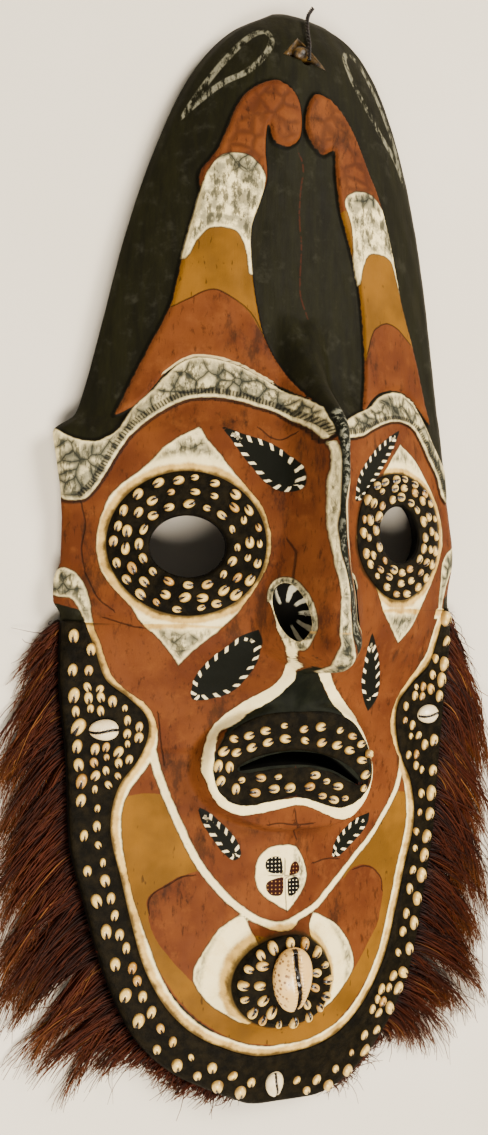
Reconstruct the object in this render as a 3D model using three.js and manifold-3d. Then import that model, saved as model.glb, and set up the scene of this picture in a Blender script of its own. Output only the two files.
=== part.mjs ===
// A carved wooden mask from the South Pacific, lying face up on its flat back rim.
// Millimetres. X runs to the viewer's right, Y towards the crown, Z out of the face.
import * as THREE from 'three';
import { mergeVertices } from 'three/addons/utils/BufferGeometryUtils.js';
import { ConvexGeometry } from 'three/addons/geometries/ConvexGeometry.js';
import Module from 'manifold-3d';

const wasm = await Module();
wasm.setup();

// Driving sizes
const crownEnd = 397;
const chinEnd = -394;
const rimHeight = 18;
const rimTaper = 0.97;
const wallThickness = 17;
const rimWidth = 15;
const gap = 0.3;

// Half widths of the outline at each height of the face, left and right side of the viewer
const leftHalf = curveThrough([
  [397, 12], [377, 44], [352, 66], [324, 82], [290, 96], [252, 109], [209, 121], [152, 134],
  [102, 146.5], [93, 150], [80, 165], [60, 162], [21, 157], [-6, 157], [-20, 161.5], [-33, 161.5],
  [-43, 156.5], [-75, 157], [-143, 150], [-195, 146.5], [-240, 135], [-283, 122], [-328, 102],
  [-347, 88], [-364, 69], [-379, 43], [-394, 12],
]);
const rightHalf = curveThrough([
  [395, 31], [383, 56], [355, 78], [310, 97], [272, 108], [227, 118], [173, 127], [120, 135],
  [93, 140], [50, 146], [2, 153], [-28, 149], [-55, 151], [-106, 147], [-145, 144], [-207, 140],
  [-246, 134], [-306, 123], [-338, 110], [-360, 96], [-383, 73], [-392, 57], [-397, 40],
]);

// Height of the middle line, how the surface falls from it to the rim, and the nose that stands on it
const crestHeight = curveThrough([
  [397, 22], [360, 40], [300, 47], [200, 52], [130, 60], [80, 85], [15, 95], [-50, 90], [-80, 72],
  [-100, 60], [-140, 54], [-200, 48], [-260, 50], [-310, 46], [-351, 36], [-394, 22],
]);
const fallPower = curveThrough([
  [397, 2.3], [200, 2.2], [130, 1.8], [80, 1.3], [15, 1.1], [-50, 1.3], [-110, 1], [-170, 0.95],
  [-230, 1.1], [-300, 1.4], [-394, 2],
]);
const noseRise = curveThrough([
  [165, 0], [140, 12], [110, 27], [80, 42], [15, 34], [-50, 44], [-66, 56], [-72, 54], [-80, 0],
]);
const noseHalf = curveThrough([[165, 22], [80, 22], [30, 24], [0, 28], [-30, 40], [-60, 45], [-80, 38]]);

// The foot of the nose slopes back by this much for each millimetre away from the middle
const noseSweep = 0.5;

// The carver's unevenness: how far the right half sits above its mirror place
const rightLift = curveThrough([
  [397, -2], [330, -6], [285, -12], [235, -3], [180, -5], [130, -7], [95, 2], [60, 7], [25, 14],
  [-20, 14], [-70, 10], [-118, 5], [-145, -5], [-175, -9], [-230, -6], [-290, -9], [-350, -9], [-394, -3],
]);
const liftReach = 55;

// The lips stand on an oval block and the chin disc on a low round one
const lips = { y: -146, halfWidth: 70, halfHeight: 46, top: 58, edge: 0.12 };
const boss = { y: -293, halfWidth: 46, halfHeight: 42, rise: 12, edge: 0.3 };

// Black paste, set 3 mm into the wood and standing 2 mm over it, with small shells pressed into it
const pasteRise = 2;
const pasteEdge = 0.6;
const pasteSink = 3;
const shellRise = 5;
const bedOverrun = 3;
const bedRise = 25;
const bedSink = pasteSink + 0.6;
const eye = { x: 82, y: 7, radius: 48, holeX: 81, holeY: 5, holeHalfWidth: 23, holeHalfHeight: 20.5 };
const pasteOpening = 0.5;

function clamp(value, low, high) {
  return Math.min(Math.max(value, low), high);
}

function smoothStep(t) {
  const u = clamp(t, 0, 1);
  return u * u * (3 - 2 * u);
}

// A smooth curve through pairs of place and value that never overshoots them
function curveThrough(pairs) {
  const knots = [...pairs].sort((a, b) => a[0] - b[0]);
  const steps = knots.slice(1).map((knot, i) => (knot[1] - knots[i][1]) / (knot[0] - knots[i][0]));
  const slopes = knots.map((knot, i) => {
    if (i === 0) return steps[0];
    if (i === knots.length - 1) return steps[i - 1];
    const [before, after] = [steps[i - 1], steps[i]];
    return before * after <= 0 ? 0 : (2 * before * after) / (before + after);
  });
  return (place) => {
    const at = Math.min(Math.max(place, knots[0][0]), knots.at(-1)[0]);
    let i = 0;
    while (i < knots.length - 2 && at > knots[i + 1][0]) i += 1;
    const span = knots[i + 1][0] - knots[i][0];
    const t = (at - knots[i][0]) / span;
    const rest = 1 - t;
    return knots[i][1] * (1 + 2 * t) * rest * rest + slopes[i] * span * t * rest * rest
      + knots[i + 1][1] * t * t * (3 - 2 * t) - slopes[i + 1] * span * t * t * rest;
  };
}

// Half width at a height of the even face, on the side of x
function halfWidth(x, y) {
  return x < 0 ? leftHalf(y) : rightHalf(y + rightLift(y));
}

// Height of the wood without the blocks under the lips and the chin disc
function woodHeight(x, y) {
  const beside = clamp(Math.abs(x) / noseHalf(y), 0, 1);
  const rise = noseRise(y - noseSweep * Math.abs(x));
  return shoulderHeight(x, y) + rise * (1 + Math.cos(Math.PI * beside)) / 2;
}

// Height of the carved front with the blocks
function frontHeight(x, y) {
  const wood = woodHeight(x, y);
  const inLips = smoothStep((1 - Math.hypot(x / lips.halfWidth, (y - lips.y) / lips.halfHeight)) / lips.edge);
  const inBoss = smoothStep((1 - Math.hypot(x / boss.halfWidth, (y - boss.y) / boss.halfHeight)) / boss.edge);
  return Math.max(wood, wood + (lips.top - wood) * inLips) + boss.rise * inBoss;
}

// The real place of a point of the even face, with a height over the floor
function placeAt(x, y, z) {
  return new THREE.Vector3(x, y + rightLift(y) * smoothStep(x / liftReach), z);
}

function onFront(x, y, rise) {
  return placeAt(x, y, frontHeight(x, y) + rise);
}

// A closed solid from loose corners and faces, turned right side out
function solidOf(positions, faces) {
  const geometry = new THREE.BufferGeometry();
  geometry.setAttribute('position', new THREE.Float32BufferAttribute(positions, 3));
  geometry.setIndex(faces);
  return solidFrom(geometry);
}

// A geometry with corners closer than a distance made one, and without the faces that this flattens
function welded(source, distance) {
  const bare = source.clone();
  bare.deleteAttribute('normal');
  bare.deleteAttribute('uv');
  const merged = mergeVertices(bare, distance);
  const faces = [];
  for (let i = 0; i < merged.index.count; i += 3) {
    const face = [merged.index.getX(i), merged.index.getX(i + 1), merged.index.getX(i + 2)];
    if (new Set(face).size === 3) faces.push(...face);
  }
  merged.setIndex(faces);
  return merged;
}

function solidFrom(source) {
  const merged = welded(source, 1e-3);
  const corners = merged.attributes.position.array;
  const faces = Array.from(merged.index.array);
  if (signedVolume(corners, faces) < 0) faces.reverse();
  return new wasm.Manifold(new wasm.Mesh({
    numProp: 3,
    vertProperties: new Float32Array(corners),
    triVerts: new Uint32Array(faces),
  }));
}

function signedVolume(corners, faces) {
  const corner = (index) => new THREE.Vector3().fromArray(corners, 3 * index);
  let total = 0;
  for (let i = 0; i < faces.length; i += 3) {
    const [a, b, c] = [corner(faces[i]), corner(faces[i + 1]), corner(faces[i + 2])];
    total += a.dot(b.cross(c)) / 6;
  }
  return total;
}

function evenShares(count) {
  return Array.from({ length: count + 1 }, (_, i) => i / count);
}

// A closed slab: a grid of top points over a strip of bottom points, in a row or in a loop.
// Each top point gets its shares along and across, and its place in the grid
function slab({ along, stations, loop = false, topAt, bottomAt }) {
  const across = stations.length - 1;
  const positions = [];
  const faces = [];
  const add = (point) => positions.push(point.x, point.y, point.z) / 3 - 1;
  const quad = (a, b, c, d) => faces.push(a, b, c, a, c, d);
  const top = [];
  const bottom = [];
  for (let i = 0; i <= along; i += 1) {
    top.push([]);
    for (let j = 0; j <= across; j += 1) top[i].push(add(topAt(i / along, stations[j], i % along, j)));
    bottom.push([add(bottomAt(i / along, 0)), add(bottomAt(i / along, 1))]);
  }
  for (let i = 0; i < along; i += 1) {
    for (let j = 0; j < across; j += 1) quad(top[i][j], top[i + 1][j], top[i + 1][j + 1], top[i][j + 1]);
    quad(bottom[i][0], bottom[i][1], bottom[i + 1][1], bottom[i + 1][0]);
    quad(top[i][0], bottom[i][0], bottom[i + 1][0], top[i + 1][0]);
    quad(top[i][across], top[i + 1][across], bottom[i + 1][1], bottom[i][1]);
  }
  if (!loop) {
    for (let j = 0; j < across; j += 1) {
      faces.push(bottom[0][0], top[0][j], top[0][j + 1]);
      faces.push(bottom[along][0], top[along][j + 1], top[along][j]);
    }
    faces.push(bottom[0][0], top[0][across], bottom[0][1]);
    faces.push(bottom[along][0], bottom[along][1], top[along][across]);
  }
  return solidOf(positions, faces);
}

function joined(solids) {
  return solids.reduce((whole, next) => whole.add(next));
}

// A smooth run through plan points, sampled by the share of its length
function planRun(points) {
  const run = new THREE.CatmullRomCurve3(points.map(([x, y]) => new THREE.Vector3(x, y, 0)), false, 'centripetal');
  return (share) => run.getPointAt(clamp(share, 0, 1));
}

// A closed run through plan points, moved outward from a centre
function loopRun(points, centre, grow) {
  const spots = points.map(([x, y]) => {
    const spot = new THREE.Vector3(x, y, 0);
    return spot.addScaledVector(spot.clone().sub(centre).normalize(), grow);
  });
  const run = new THREE.CatmullRomCurve3(spots, true, 'centripetal');
  return (share) => run.getPoint(share % 1);
}

function ovalAt(x, y, halfX, halfY) {
  return (share) => {
    const angle = 2 * Math.PI * (share % 1);
    return new THREE.Vector3(x + halfX * Math.cos(angle), y + halfY * Math.sin(angle), 0);
  };
}

// A slab on the front between an inner run and an outer run; riseAt gives its top over the wood
function laidSlab({ inner, outer, along, stations, loop, riseAt, sink }) {
  const plan = (u, v) => inner(u).lerp(outer(u), v);
  return slab({
    along,
    stations,
    loop,
    topAt: (u, v, i, j) => onFront(plan(u, v).x, plan(u, v).y, riseAt(i, j)),
    bottomAt: (u, v) => onFront(plan(u, v).x, plan(u, v).y, -sink),
  });
}

// The wooden body

const columnShares = [0, 0.04, 0.11, 0.2, 0.34, 0.52, 0.74, 0.92, 1];
const closeRow = 12;
const wideRow = 26;
const bodyColumns = [...columnShares.slice(1).reverse().map((share) => -share), ...columnShares];
const bodyRows = rowPlaces();

// Rows stand close together on the nose, at the ear tabs and at both ends
function rowPlaces() {
  const rows = [];
  let y = crownEnd;
  while (y > chinEnd + 4) {
    rows.push(y);
    const nearNose = y < 115 && y > -92;
    const nearEnd = y > 365 || y < -350;
    y -= nearNose || nearEnd ? closeRow : wideRow;
  }
  return [...rows, chinEnd];
}

function shoulderHeight(x, y) {
  const outward = clamp(Math.hypot(x, 2) / halfWidth(x, y), 0, 1);
  return rimHeight + (crestHeight(y) - rimHeight) * (1 - outward ** fallPower(y));
}

function bodyBlank() {
  const sideX = (share, y) => share * halfWidth(share, y);
  const rowAt = (u) => bodyRows[Math.round(u * (bodyRows.length - 1))];
  return slab({
    along: bodyRows.length - 1,
    stations: bodyColumns,
    topAt: (u, share) => {
      const x = sideX(share, rowAt(u));
      return placeAt(x, rowAt(u), woodHeight(x, rowAt(u)));
    },
    bottomAt: (u, v) => {
      const edge = placeAt(sideX(2 * v - 1, rowAt(u)), rowAt(u), 0);
      return edge.set(edge.x * rimTaper, edge.y * Math.sqrt(rimTaper), 0);
    },
  });
}

// The hollow back lies a wall's thickness under the shoulder surface and rises gently at both ends
const hollowTop = crownEnd - 22;
const hollowBottom = chinEnd + 24;
const hollowFloor = 3;
const hollowEndRun = 30;
const hollowEndShare = 0.25;

function hollowBack() {
  const rowAt = (u) => hollowTop + (hollowBottom - hollowTop) * u;
  const planX = (share, y) => share * (halfWidth(share, y) - rimWidth);
  const under = (x, y) => {
    const nearEnd = Math.min(hollowTop - y, y - hollowBottom) / hollowEndRun;
    const depth = Math.max(shoulderHeight(x, y) - wallThickness - hollowFloor, 1);
    return hollowFloor + depth * smoothStep(hollowEndShare + nearEnd);
  };
  return slab({
    along: 18,
    stations: evenShares(8).map((share) => 2 * share - 1),
    topAt: (u, share) => {
      const x = planX(share, rowAt(u));
      return placeAt(x, rowAt(u), under(x, rowAt(u)));
    },
    bottomAt: (u, v) => placeAt(planX(2 * v - 1, rowAt(u)), rowAt(u), -1),
  });
}

// A low round block standing on the wood, with rings at the given shares of its radius
const blockFoot = 9;
const blockSettle = -0.5;

function roundBlock(block, rings) {
  const plan = (u, share) => ovalAt(0, block.y, share * block.halfWidth, share * block.halfHeight)(u);
  return slab({
    along: 20,
    stations: rings,
    loop: true,
    topAt: (u, share) => onFront(plan(u, share).x, plan(u, share).y, share === 1 ? blockSettle : 0),
    bottomAt: (u, share) => {
      const spot = plan(u, share);
      return placeAt(spot.x, spot.y, woodHeight(spot.x, spot.y) - blockFoot);
    },
  });
}

// Two bent figures in low relief on the forehead, each with a drop at its top. Their feet run under
// the brows
const figureInner = [[24, 114], [28, 146], [37, 194], [33, 247], [27, 285], [17, 312], [9, 334]];
const figureOuter = [[108, 110], [102, 143], [84, 204], [74, 244], [62, 288], [47, 324], [20, 339]];
const drop = { x: 10, y: 309, halfWidth: 9, halfHeight: 25 };
const figureRise = 4.5;
const reliefEdge = 1;
const reliefSink = 3;
const footRise = -2;

function mirrored(points, side) {
  return points.map(([x, y]) => [side * x, y]);
}

function foreheadFigure(side) {
  const leg = laidSlab({
    inner: planRun(mirrored(figureInner, side)),
    outer: planRun(mirrored(figureOuter, side)),
    along: 8,
    stations: [0, 0.12, 0.88, 1],
    riseAt: (i, j) => {
      if (i === 0) return footRise;
      return j === 0 || j === 3 ? reliefEdge : figureRise;
    },
    sink: reliefSink,
  });
  const end = laidSlab({
    inner: ovalAt(side * drop.x, drop.y, 0, 0),
    outer: ovalAt(side * drop.x, drop.y, drop.halfWidth, drop.halfHeight),
    along: 10,
    stations: [0, 0.8, 1],
    loop: true,
    riseAt: (i, j) => (j === 2 ? reliefEdge : figureRise),
    sink: reliefSink,
  });
  return leg.add(end);
}

// The brow runs from the root of the nose to the ear tab
const browLower = [[7, 76], [15, 87], [30, 95], [53, 101], [77, 103], [98, 96], [116, 79], [129, 62], [145, 36]];
const browUpper = [[8, 99], [17, 110], [33, 122], [56, 132], [76, 134], [95, 127], [111, 113], [128, 91], [148, 77]];
const browRise = 3.5;

function brow(side) {
  return laidSlab({
    inner: planRun(mirrored(browLower, side)),
    outer: planRun(mirrored(browUpper, side)),
    along: 9,
    stations: [0, 0.5, 1],
    riseAt: (i, j) => (j === 1 ? browRise : reliefEdge),
    sink: reliefSink,
  });
}

// Each nostril is a long oval hollow in the side of the nose, leaning outward and then turned sideways
const nostrilPlace = [20, -38, 101];
const nostrilHalf = [13, 24, 15];
const nostrilLean = THREE.MathUtils.degToRad(-38);
const nostrilTurn = THREE.MathUtils.degToRad(48);

function nostril(side) {
  const [x, y, z] = nostrilPlace;
  const hollow = new THREE.SphereGeometry(1, 10, 6);
  hollow.scale(...nostrilHalf);
  hollow.rotateZ(side * nostrilLean);
  hollow.rotateY(side * nostrilTurn);
  const centre = placeAt(side * x, y, z);
  hollow.translate(centre.x, centre.y, centre.z);
  return solidFrom(hollow);
}

function eyeHole(side) {
  const centre = placeAt(side * eye.holeX, eye.holeY, 0);
  const outline = new THREE.Shape().absellipse(
    0, 0, eye.holeHalfWidth, eye.holeHalfHeight, 0, 2 * Math.PI);
  const cutter = new THREE.ExtrudeGeometry(outline, { depth: 160, bevelEnabled: false, curveSegments: 10 });
  cutter.translate(centre.x, centre.y, -10);
  return solidFrom(cutter);
}

// The gap between the lips is a deep groove, a crescent that dips at its right end
const lipGap = {
  run: [[-40, -144.5], [-20, -140.3], [2, -139], [30, -142], [51, -152]],
  halfOpening: 4.6,
  depth: 15,
};
const gapEndShare = 0.06;
const gapFullness = 0.7;
const gapHeadroom = 20;

function lipGroove() {
  const run = planRun(lipGap.run);
  const bow = (u) => Math.sin(Math.PI * (gapEndShare + (1 - 2 * gapEndShare) * u));
  const open = (u) => lipGap.halfOpening * bow(u) ** gapFullness;
  const at = (u, v) => [run(u).x, run(u).y + (2 * v - 1) * open(u)];
  return slab({
    along: 12,
    stations: [0, 1],
    topAt: (u, v) => placeAt(...at(u, v), lips.top + gapHeadroom),
    bottomAt: (u, v) => placeAt(...at(u, v), lips.top - lipGap.depth),
  });
}

// A three-cornered pocket in the crown, with a lug in it and a hole beside the lug
const pocket = { tip: [0, 373], left: [-13, 357], right: [21, 353], floor: [4, 357], depth: 15 };
const crownHole = { x: 5, y: 356, z: 30, radius: 4, length: 80 };
const lug = { x: 3, y: 362, radius: 5.5, sink: 6, widen: 0.8, lengthen: 1.2 };

const pocketHeadroom = 12;

function crownPocket() {
  const corners = [pocket.tip, pocket.left, pocket.right];
  return solidFrom(new ConvexGeometry([
    ...corners.map((place) => onFront(...place, 0)),
    ...corners.map((place) => onFront(...place, pocketHeadroom)),
    onFront(...pocket.floor, -pocket.depth),
  ]));
}

function piercedCrown() {
  const hole = new THREE.CylinderGeometry(crownHole.radius, crownHole.radius, crownHole.length, 8);
  hole.rotateX(Math.PI / 2);
  hole.translate(crownHole.x, crownHole.y, crownHole.z);
  return solidFrom(hole);
}

function crownLug() {
  const ball = new THREE.IcosahedronGeometry(lug.radius, 0);
  const centre = onFront(lug.x, lug.y, -lug.sink);
  ball.scale(lug.widen, lug.lengthen, 1);
  ball.translate(centre.x, centre.y, centre.z);
  return solidFrom(ball);
}

// The hanging wire comes out of the pocket, runs up the crown and stands a little past its edge
const wirePath = [[6, 355, 2], [7, 367, 3], [8, 380, 3], [10, 391, 4], [12, 397, 3], [16, 403, 2]];
const wireRadius = 1.5;
const wireLift = 4;

function wirePoint([x, y, rise]) {
  const edge = Math.min(y, crownEnd - wireLift);
  return new THREE.Vector3(x, y, frontHeight(x, edge) + rise);
}

function hangingWire(radius) {
  const path = new THREE.CatmullRomCurve3(wirePath.map(wirePoint), false, 'centripetal');
  const section = new THREE.Shape().absarc(0, 0, radius, 0, 2 * Math.PI);
  return solidFrom(new THREE.ExtrudeGeometry(section, {
    steps: 8, extrudePath: path, bevelEnabled: false, curveSegments: 3,
  }));
}

// Height of a paste's top: shells are low points on the odd places of its grid
function pasteTop(i, j, last, isShell) {
  if (j === 0 || j === last) return pasteEdge;
  return isShell ? shellRise : pasteRise;
}

// Eye rings: three staggered rows of shells around the hole
function eyeRing(side, bed) {
  const grow = bed ? gap : 0;
  const open = bed ? -bedOverrun : pasteOpening;
  const stations = evenShares(6);
  return laidSlab({
    inner: ovalAt(side * eye.holeX, eye.holeY, eye.holeHalfWidth + open, eye.holeHalfHeight + open),
    outer: ovalAt(side * eye.x, eye.y, eye.radius + grow, eye.radius + grow),
    along: 32,
    stations: bed ? [0, 1] : stations,
    loop: true,
    riseAt: (i, j) => (bed ? bedRise : pasteTop(i, j, 6, j % 2 === 1 && (i + (j === 3 ? 1 : 0)) % 2 === 1)),
    sink: bed ? bedSink : pasteSink,
  });
}

// Lips: paste between the oval outside and the groove, with two rows of shells
const lipOutline = [
  [0, -107], [-24, -109], [-45, -118], [-56, -131], [-59, -146], [-55, -160], [-38, -170], [-18, -169],
  [0, -165], [16, -168], [36, -170], [54, -161], [60, -146], [56, -131], [45, -119], [24, -110],
];
const grooveOutline = [
  [2, -134], [-14, -134.7], [-27, -137.3], [-37, -141.5], [-41, -144.8], [-36, -147], [-26, -146.2],
  [-12, -144.8], [2, -144.2], [17, -144.8], [31, -147], [44, -151.5], [53, -153.5], [48, -146.5],
  [36, -140.3], [19, -135.8],
];
const lipCentre = new THREE.Vector3(2, -143, 0);

// The groove's outline drawn in halfway to its own middle line, each point towards the one across
const drawnIn = 0.25;

function grooveMiddle() {
  const count = grooveOutline.length;
  return grooveOutline.map(([x, y], k) => {
    const [acrossX, acrossY] = grooveOutline[(count * 1.5 - k) % count];
    return [x + drawnIn * (acrossX - x), y + drawnIn * (acrossY - y)];
  });
}

function lipRing(bed) {
  const grow = bed ? gap : 0;
  return laidSlab({
    inner: bed ? loopRun(grooveMiddle(), lipCentre, 0) : loopRun(grooveOutline, lipCentre, pasteOpening),
    outer: loopRun(lipOutline, lipCentre, grow),
    along: 36,
    stations: bed ? [0, 1] : evenShares(4),
    loop: true,
    riseAt: (i, j) => (bed ? bedRise : pasteTop(i, j, 4, j % 2 === 1 && i % 2 === 1)),
    sink: bed ? bedSink : pasteSink,
  });
}

// Chin disc: an oval with two rings of shells around a large cowrie
const disc = { x: 0, y: -294, halfWidth: 38, halfHeight: 33.5 };

function chinDisc(bed) {
  const grow = bed ? gap : 0;
  return laidSlab({
    inner: ovalAt(disc.x, disc.y, 0, 0),
    outer: ovalAt(disc.x, disc.y, disc.halfWidth + grow, disc.halfHeight + grow),
    along: 24,
    stations: bed ? [0, 1] : [0, 0.45, 0.62, 0.74, 0.87, 1],
    loop: true,
    riseAt: (i, j) => (bed ? bedRise : pasteTop(i, j, 5, (j === 2 && i % 2 === 0) || (j === 4 && i % 2 === 1))),
    sink: bed ? bedSink : pasteSink,
  });
}

// The band along the jaw, wide on the cheeks, from one ear tab around the chin to the other
const bandInner = [
  [-142, -47], [-135, -66], [-127, -86], [-112, -98], [-99, -111], [-97, -124], [-103, -141], [-114, -157],
  [-119, -174], [-119, -194], [-112, -221], [-103, -256], [-93, -287], [-75, -317], [-48, -339],
  [0, -354],
];
const bandMirror = mirrored([...bandInner].reverse().slice(1), -1);
const bandRun = planRun([...bandInner, ...bandMirror]);
const bandInset = 1;
const bandFocusY = -250;
const wideBand = 40;
const widestBand = 120;

function inside(x, y, inset) {
  return y > chinEnd + inset && Math.abs(x) < halfWidth(x, y) - inset;
}

// The rim opposite an inner point, straight out from the middle line or from the chin's focus
function rimOpposite(spot, outward) {
  let [near, far] = [0, widestBand];
  while (far - near > 1e-5) {
    const middle = (near + far) / 2;
    const at = spot.clone().addScaledVector(outward, middle);
    if (inside(at.x, at.y, bandInset)) near = middle;
    else far = middle;
  }
  return near;
}

// Inner and outer points of the band at a share of its length
function bandEdges(share) {
  const inner = bandRun(share);
  const focus = new THREE.Vector3(0, Math.max(inner.y, bandFocusY), 0);
  const outward = inner.clone().sub(focus).normalize();
  const width = rimOpposite(inner, outward);
  return { inner, outer: inner.clone().addScaledVector(outward, width), width };
}

// The band's bed is a little larger at the inner edge and both ends, and runs out past the rim
function jawBand(bed) {
  const along = 64;
  const edges = evenShares(along).map(bandEdges);
  const edgeAt = (u) => edges[Math.round(u * along)];
  const grow = bed ? gap : 0;
  const overrun = bed ? bedOverrun : 0;
  const across = (u, v) => v + (v * overrun - (1 - v) * grow) / edgeAt(u).width;
  const endShift = (u) => (u === 0 || u === 1 ? grow : 0);
  const plan = (u, v) => edgeAt(u).inner.clone().lerp(edgeAt(u).outer, across(u, v));
  const isShell = (i, j) => {
    const columns = edges[i].width > wideBand ? [1, 3, 5, 7] : [2, 6];
    return i % 2 === 1 && columns.includes(j);
  };
  return slab({
    along,
    stations: bed ? [0, 1] : evenShares(8),
    topAt: (u, v, i, j) => {
      const spot = plan(u, v);
      return onFront(spot.x, spot.y + endShift(u), bed ? bedRise : pasteTop(i, j, 8, isShell(i, j)));
    },
    bottomAt: (u, v) => {
      const { inner, outer } = edgeAt(u);
      const sink = bed ? bedSink : pasteSink;
      const start = onFront(inner.x, inner.y + endShift(u), -sink);
      return start.lerp(onFront(outer.x, outer.y + endShift(u), -sink), across(u, v));
    },
  });
}

// Cowries: a domed oval with a lengthwise slit, its back sunk in the paste
const cowries = {
  left_cheek_cowrie: { x: -127, y: -120, length: 20, width: 14, height: 12, turn: Math.PI / 2, rise: 3.5 },
  right_cheek_cowrie: { x: 127, y: -120, length: 20, width: 14, height: 12, turn: Math.PI / 2, rise: 3.5 },
  chin_cowrie: { x: 0, y: -289, length: 44, width: 28, height: 24, turn: 0.05, rise: 6 },
  rim_cowrie: { x: 4, y: -376, length: 20, width: 13, height: 12, turn: 0.1, rise: 3.5 },
};

const slit = { width: 0.12, length: 0.8, depth: 0.5, middle: 0.55, aside: 0.06 };
const slopeReach = 6;

function cowrie({ x, y, length, width, height, turn, rise }, bed = false) {
  const grow = bed ? gap : 0;
  const body = new THREE.SphereGeometry(1, 10, 6);
  body.rotateX(Math.PI / 2);
  body.scale(width / 2 + grow, length / 2 + grow, height / 2 + grow);
  const whole = solidFrom(body);
  const groove = new THREE.BoxGeometry(width * slit.width, length * slit.length, height * slit.depth);
  groove.translate(-width * slit.aside, 0, height * slit.middle);
  const shape = bed ? whole : whole.subtract(solidFrom(groove));
  const centre = onFront(x, y, rise);
  const east = onFront(x + slopeReach, y, 0).sub(onFront(x - slopeReach, y, 0)).normalize();
  const north = onFront(x, y + slopeReach, 0).sub(onFront(x, y - slopeReach, 0)).normalize();
  const up = east.clone().cross(north).normalize();
  const frame = new THREE.Matrix4().makeBasis(east, up.clone().cross(east), up).setPosition(centre);
  frame.multiply(new THREE.Matrix4().makeRotationZ(turn));
  return shape.transform(frame.toArray());
}

// Fibre fringe: a thin ragged wedge outside the rim, long beside the jaw and short under the chin.
// A station is the height on the rim, the reach outward and the droop of the tips
const fringeStations = [
  [-44, 8, 4], [-60, 24, 30], [-100, 36, 52], [-150, 43, 58], [-200, 46, 60], [-250, 52, 54], [-290, 52, 46],
  [-325, 44, 36], [-340, 26, 24], [-356, 9, 9], [-392, 7, 8.6],
];
const fringeReach = curveThrough(fringeStations.map(([y, reach]) => [y, reach]));
const fringeDroop = curveThrough(fringeStations.map(([y, , droop]) => [y, droop]));
const fringeRoot = 15;
const fringeTip = 5;
const fringeGap = 0.8;
const shortTuft = 0.88;
const rightSpread = { most: 6, fullAt: 40 };
const chinDrop = { from: 0.9, by: 1 };

function fringe(side) {
  const along = 22;
  const top = fringeStations[0][0];
  const bottom = fringeStations.at(-1)[0];
  const ragged = (u) => (Math.round(u * along) % 2 ? 1 : shortTuft);
  const spread = (reach) => (side > 0 ? rightSpread.most * Math.min(reach / rightSpread.fullAt, 1) : 0);
  const at = (u, v) => {
    const y = top + (bottom - top) * u;
    const reach = fringeReach(y) + spread(fringeReach(y));
    const x = side * (halfWidth(side, y) + fringeGap + v * reach * ragged(u));
    return [x, y - v * fringeDroop(y) * ragged(u) - (u > chinDrop.from ? chinDrop.by : 0)];
  };
  return slab({
    along,
    stations: [0, 1],
    topAt: (u, v) => placeAt(...at(u, v), fringeRoot + (fringeTip - fringeRoot) * v),
    bottomAt: (u, v) => placeAt(...at(u, v), 0),
  });
}

// Putting the mask together

const paint = {
  wood: { color: 0x9c4a26, roughness: 0.6 },
  paste: { color: 0x2c2720, roughness: 0.7 },
  shell: { color: 0xe8dcc0, roughness: 0.3 },
  wire: { color: 0x2a2622, roughness: 0.5 },
  fibre: { color: 0x6a3319, roughness: 0.9 },
};

const weldDistance = 0.03;

function meshOf(name, solid, look) {
  const { numProp, vertProperties, triVerts } = solid.getMesh();
  const geometry = new THREE.BufferGeometry();
  const positions = [];
  for (let i = 0; i < vertProperties.length; i += numProp) positions.push(...vertProperties.subarray(i, i + 3));
  geometry.setAttribute('position', new THREE.Float32BufferAttribute(positions, 3));
  geometry.setIndex(Array.from(triVerts));
  const clean = welded(geometry, weldDistance);
  clean.computeVertexNormals();
  const mesh = new THREE.Mesh(clean, new THREE.MeshStandardMaterial({ ...look, metalness: 0 }));
  mesh.name = name;
  return mesh;
}

function maskBody() {
  const carved = joined([
    bodyBlank(), roundBlock(lips, [0, 0.5, 0.87, 0.93, 1]), roundBlock(boss, [0, 0.7, 0.82, 1]),
    foreheadFigure(-1), foreheadFigure(1), brow(-1), brow(1),
  ]);
  const holes = [
    hollowBack(), eyeHole(-1), eyeHole(1), nostril(-1), nostril(1), lipGroove(), crownPocket(), piercedCrown(),
  ];
  const beds = [eyeRing(-1, true), eyeRing(1, true), lipRing(true), chinDisc(true), jawBand(true)];
  const pierced = carved.subtract(joined(holes)).add(crownLug());
  return pierced.subtract(joined(beds)).subtract(hangingWire(wireRadius + gap));
}

const cowrieBeds = joined(Object.values(cowries).map((size) => cowrie(size, true)));

const mask = new THREE.Group();
mask.name = 'mask';
mask.add(meshOf('mask_body', maskBody().subtract(cowrieBeds), paint.wood));
mask.add(meshOf('left_eye_paste', eyeRing(-1, false), paint.paste));
mask.add(meshOf('right_eye_paste', eyeRing(1, false), paint.paste));
mask.add(meshOf('lip_paste', lipRing(false), paint.paste));
mask.add(meshOf('chin_paste', chinDisc(false).subtract(cowrieBeds), paint.paste));
mask.add(meshOf('jaw_band_paste', jawBand(false).subtract(cowrieBeds), paint.paste));
for (const [name, size] of Object.entries(cowries)) mask.add(meshOf(name, cowrie(size), paint.shell));
mask.add(meshOf('hanging_wire', hangingWire(wireRadius), paint.wire));
mask.add(meshOf('left_fringe', fringe(-1), paint.fibre));
mask.add(meshOf('right_fringe', fringe(1), paint.fibre));

export default mask;
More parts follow.
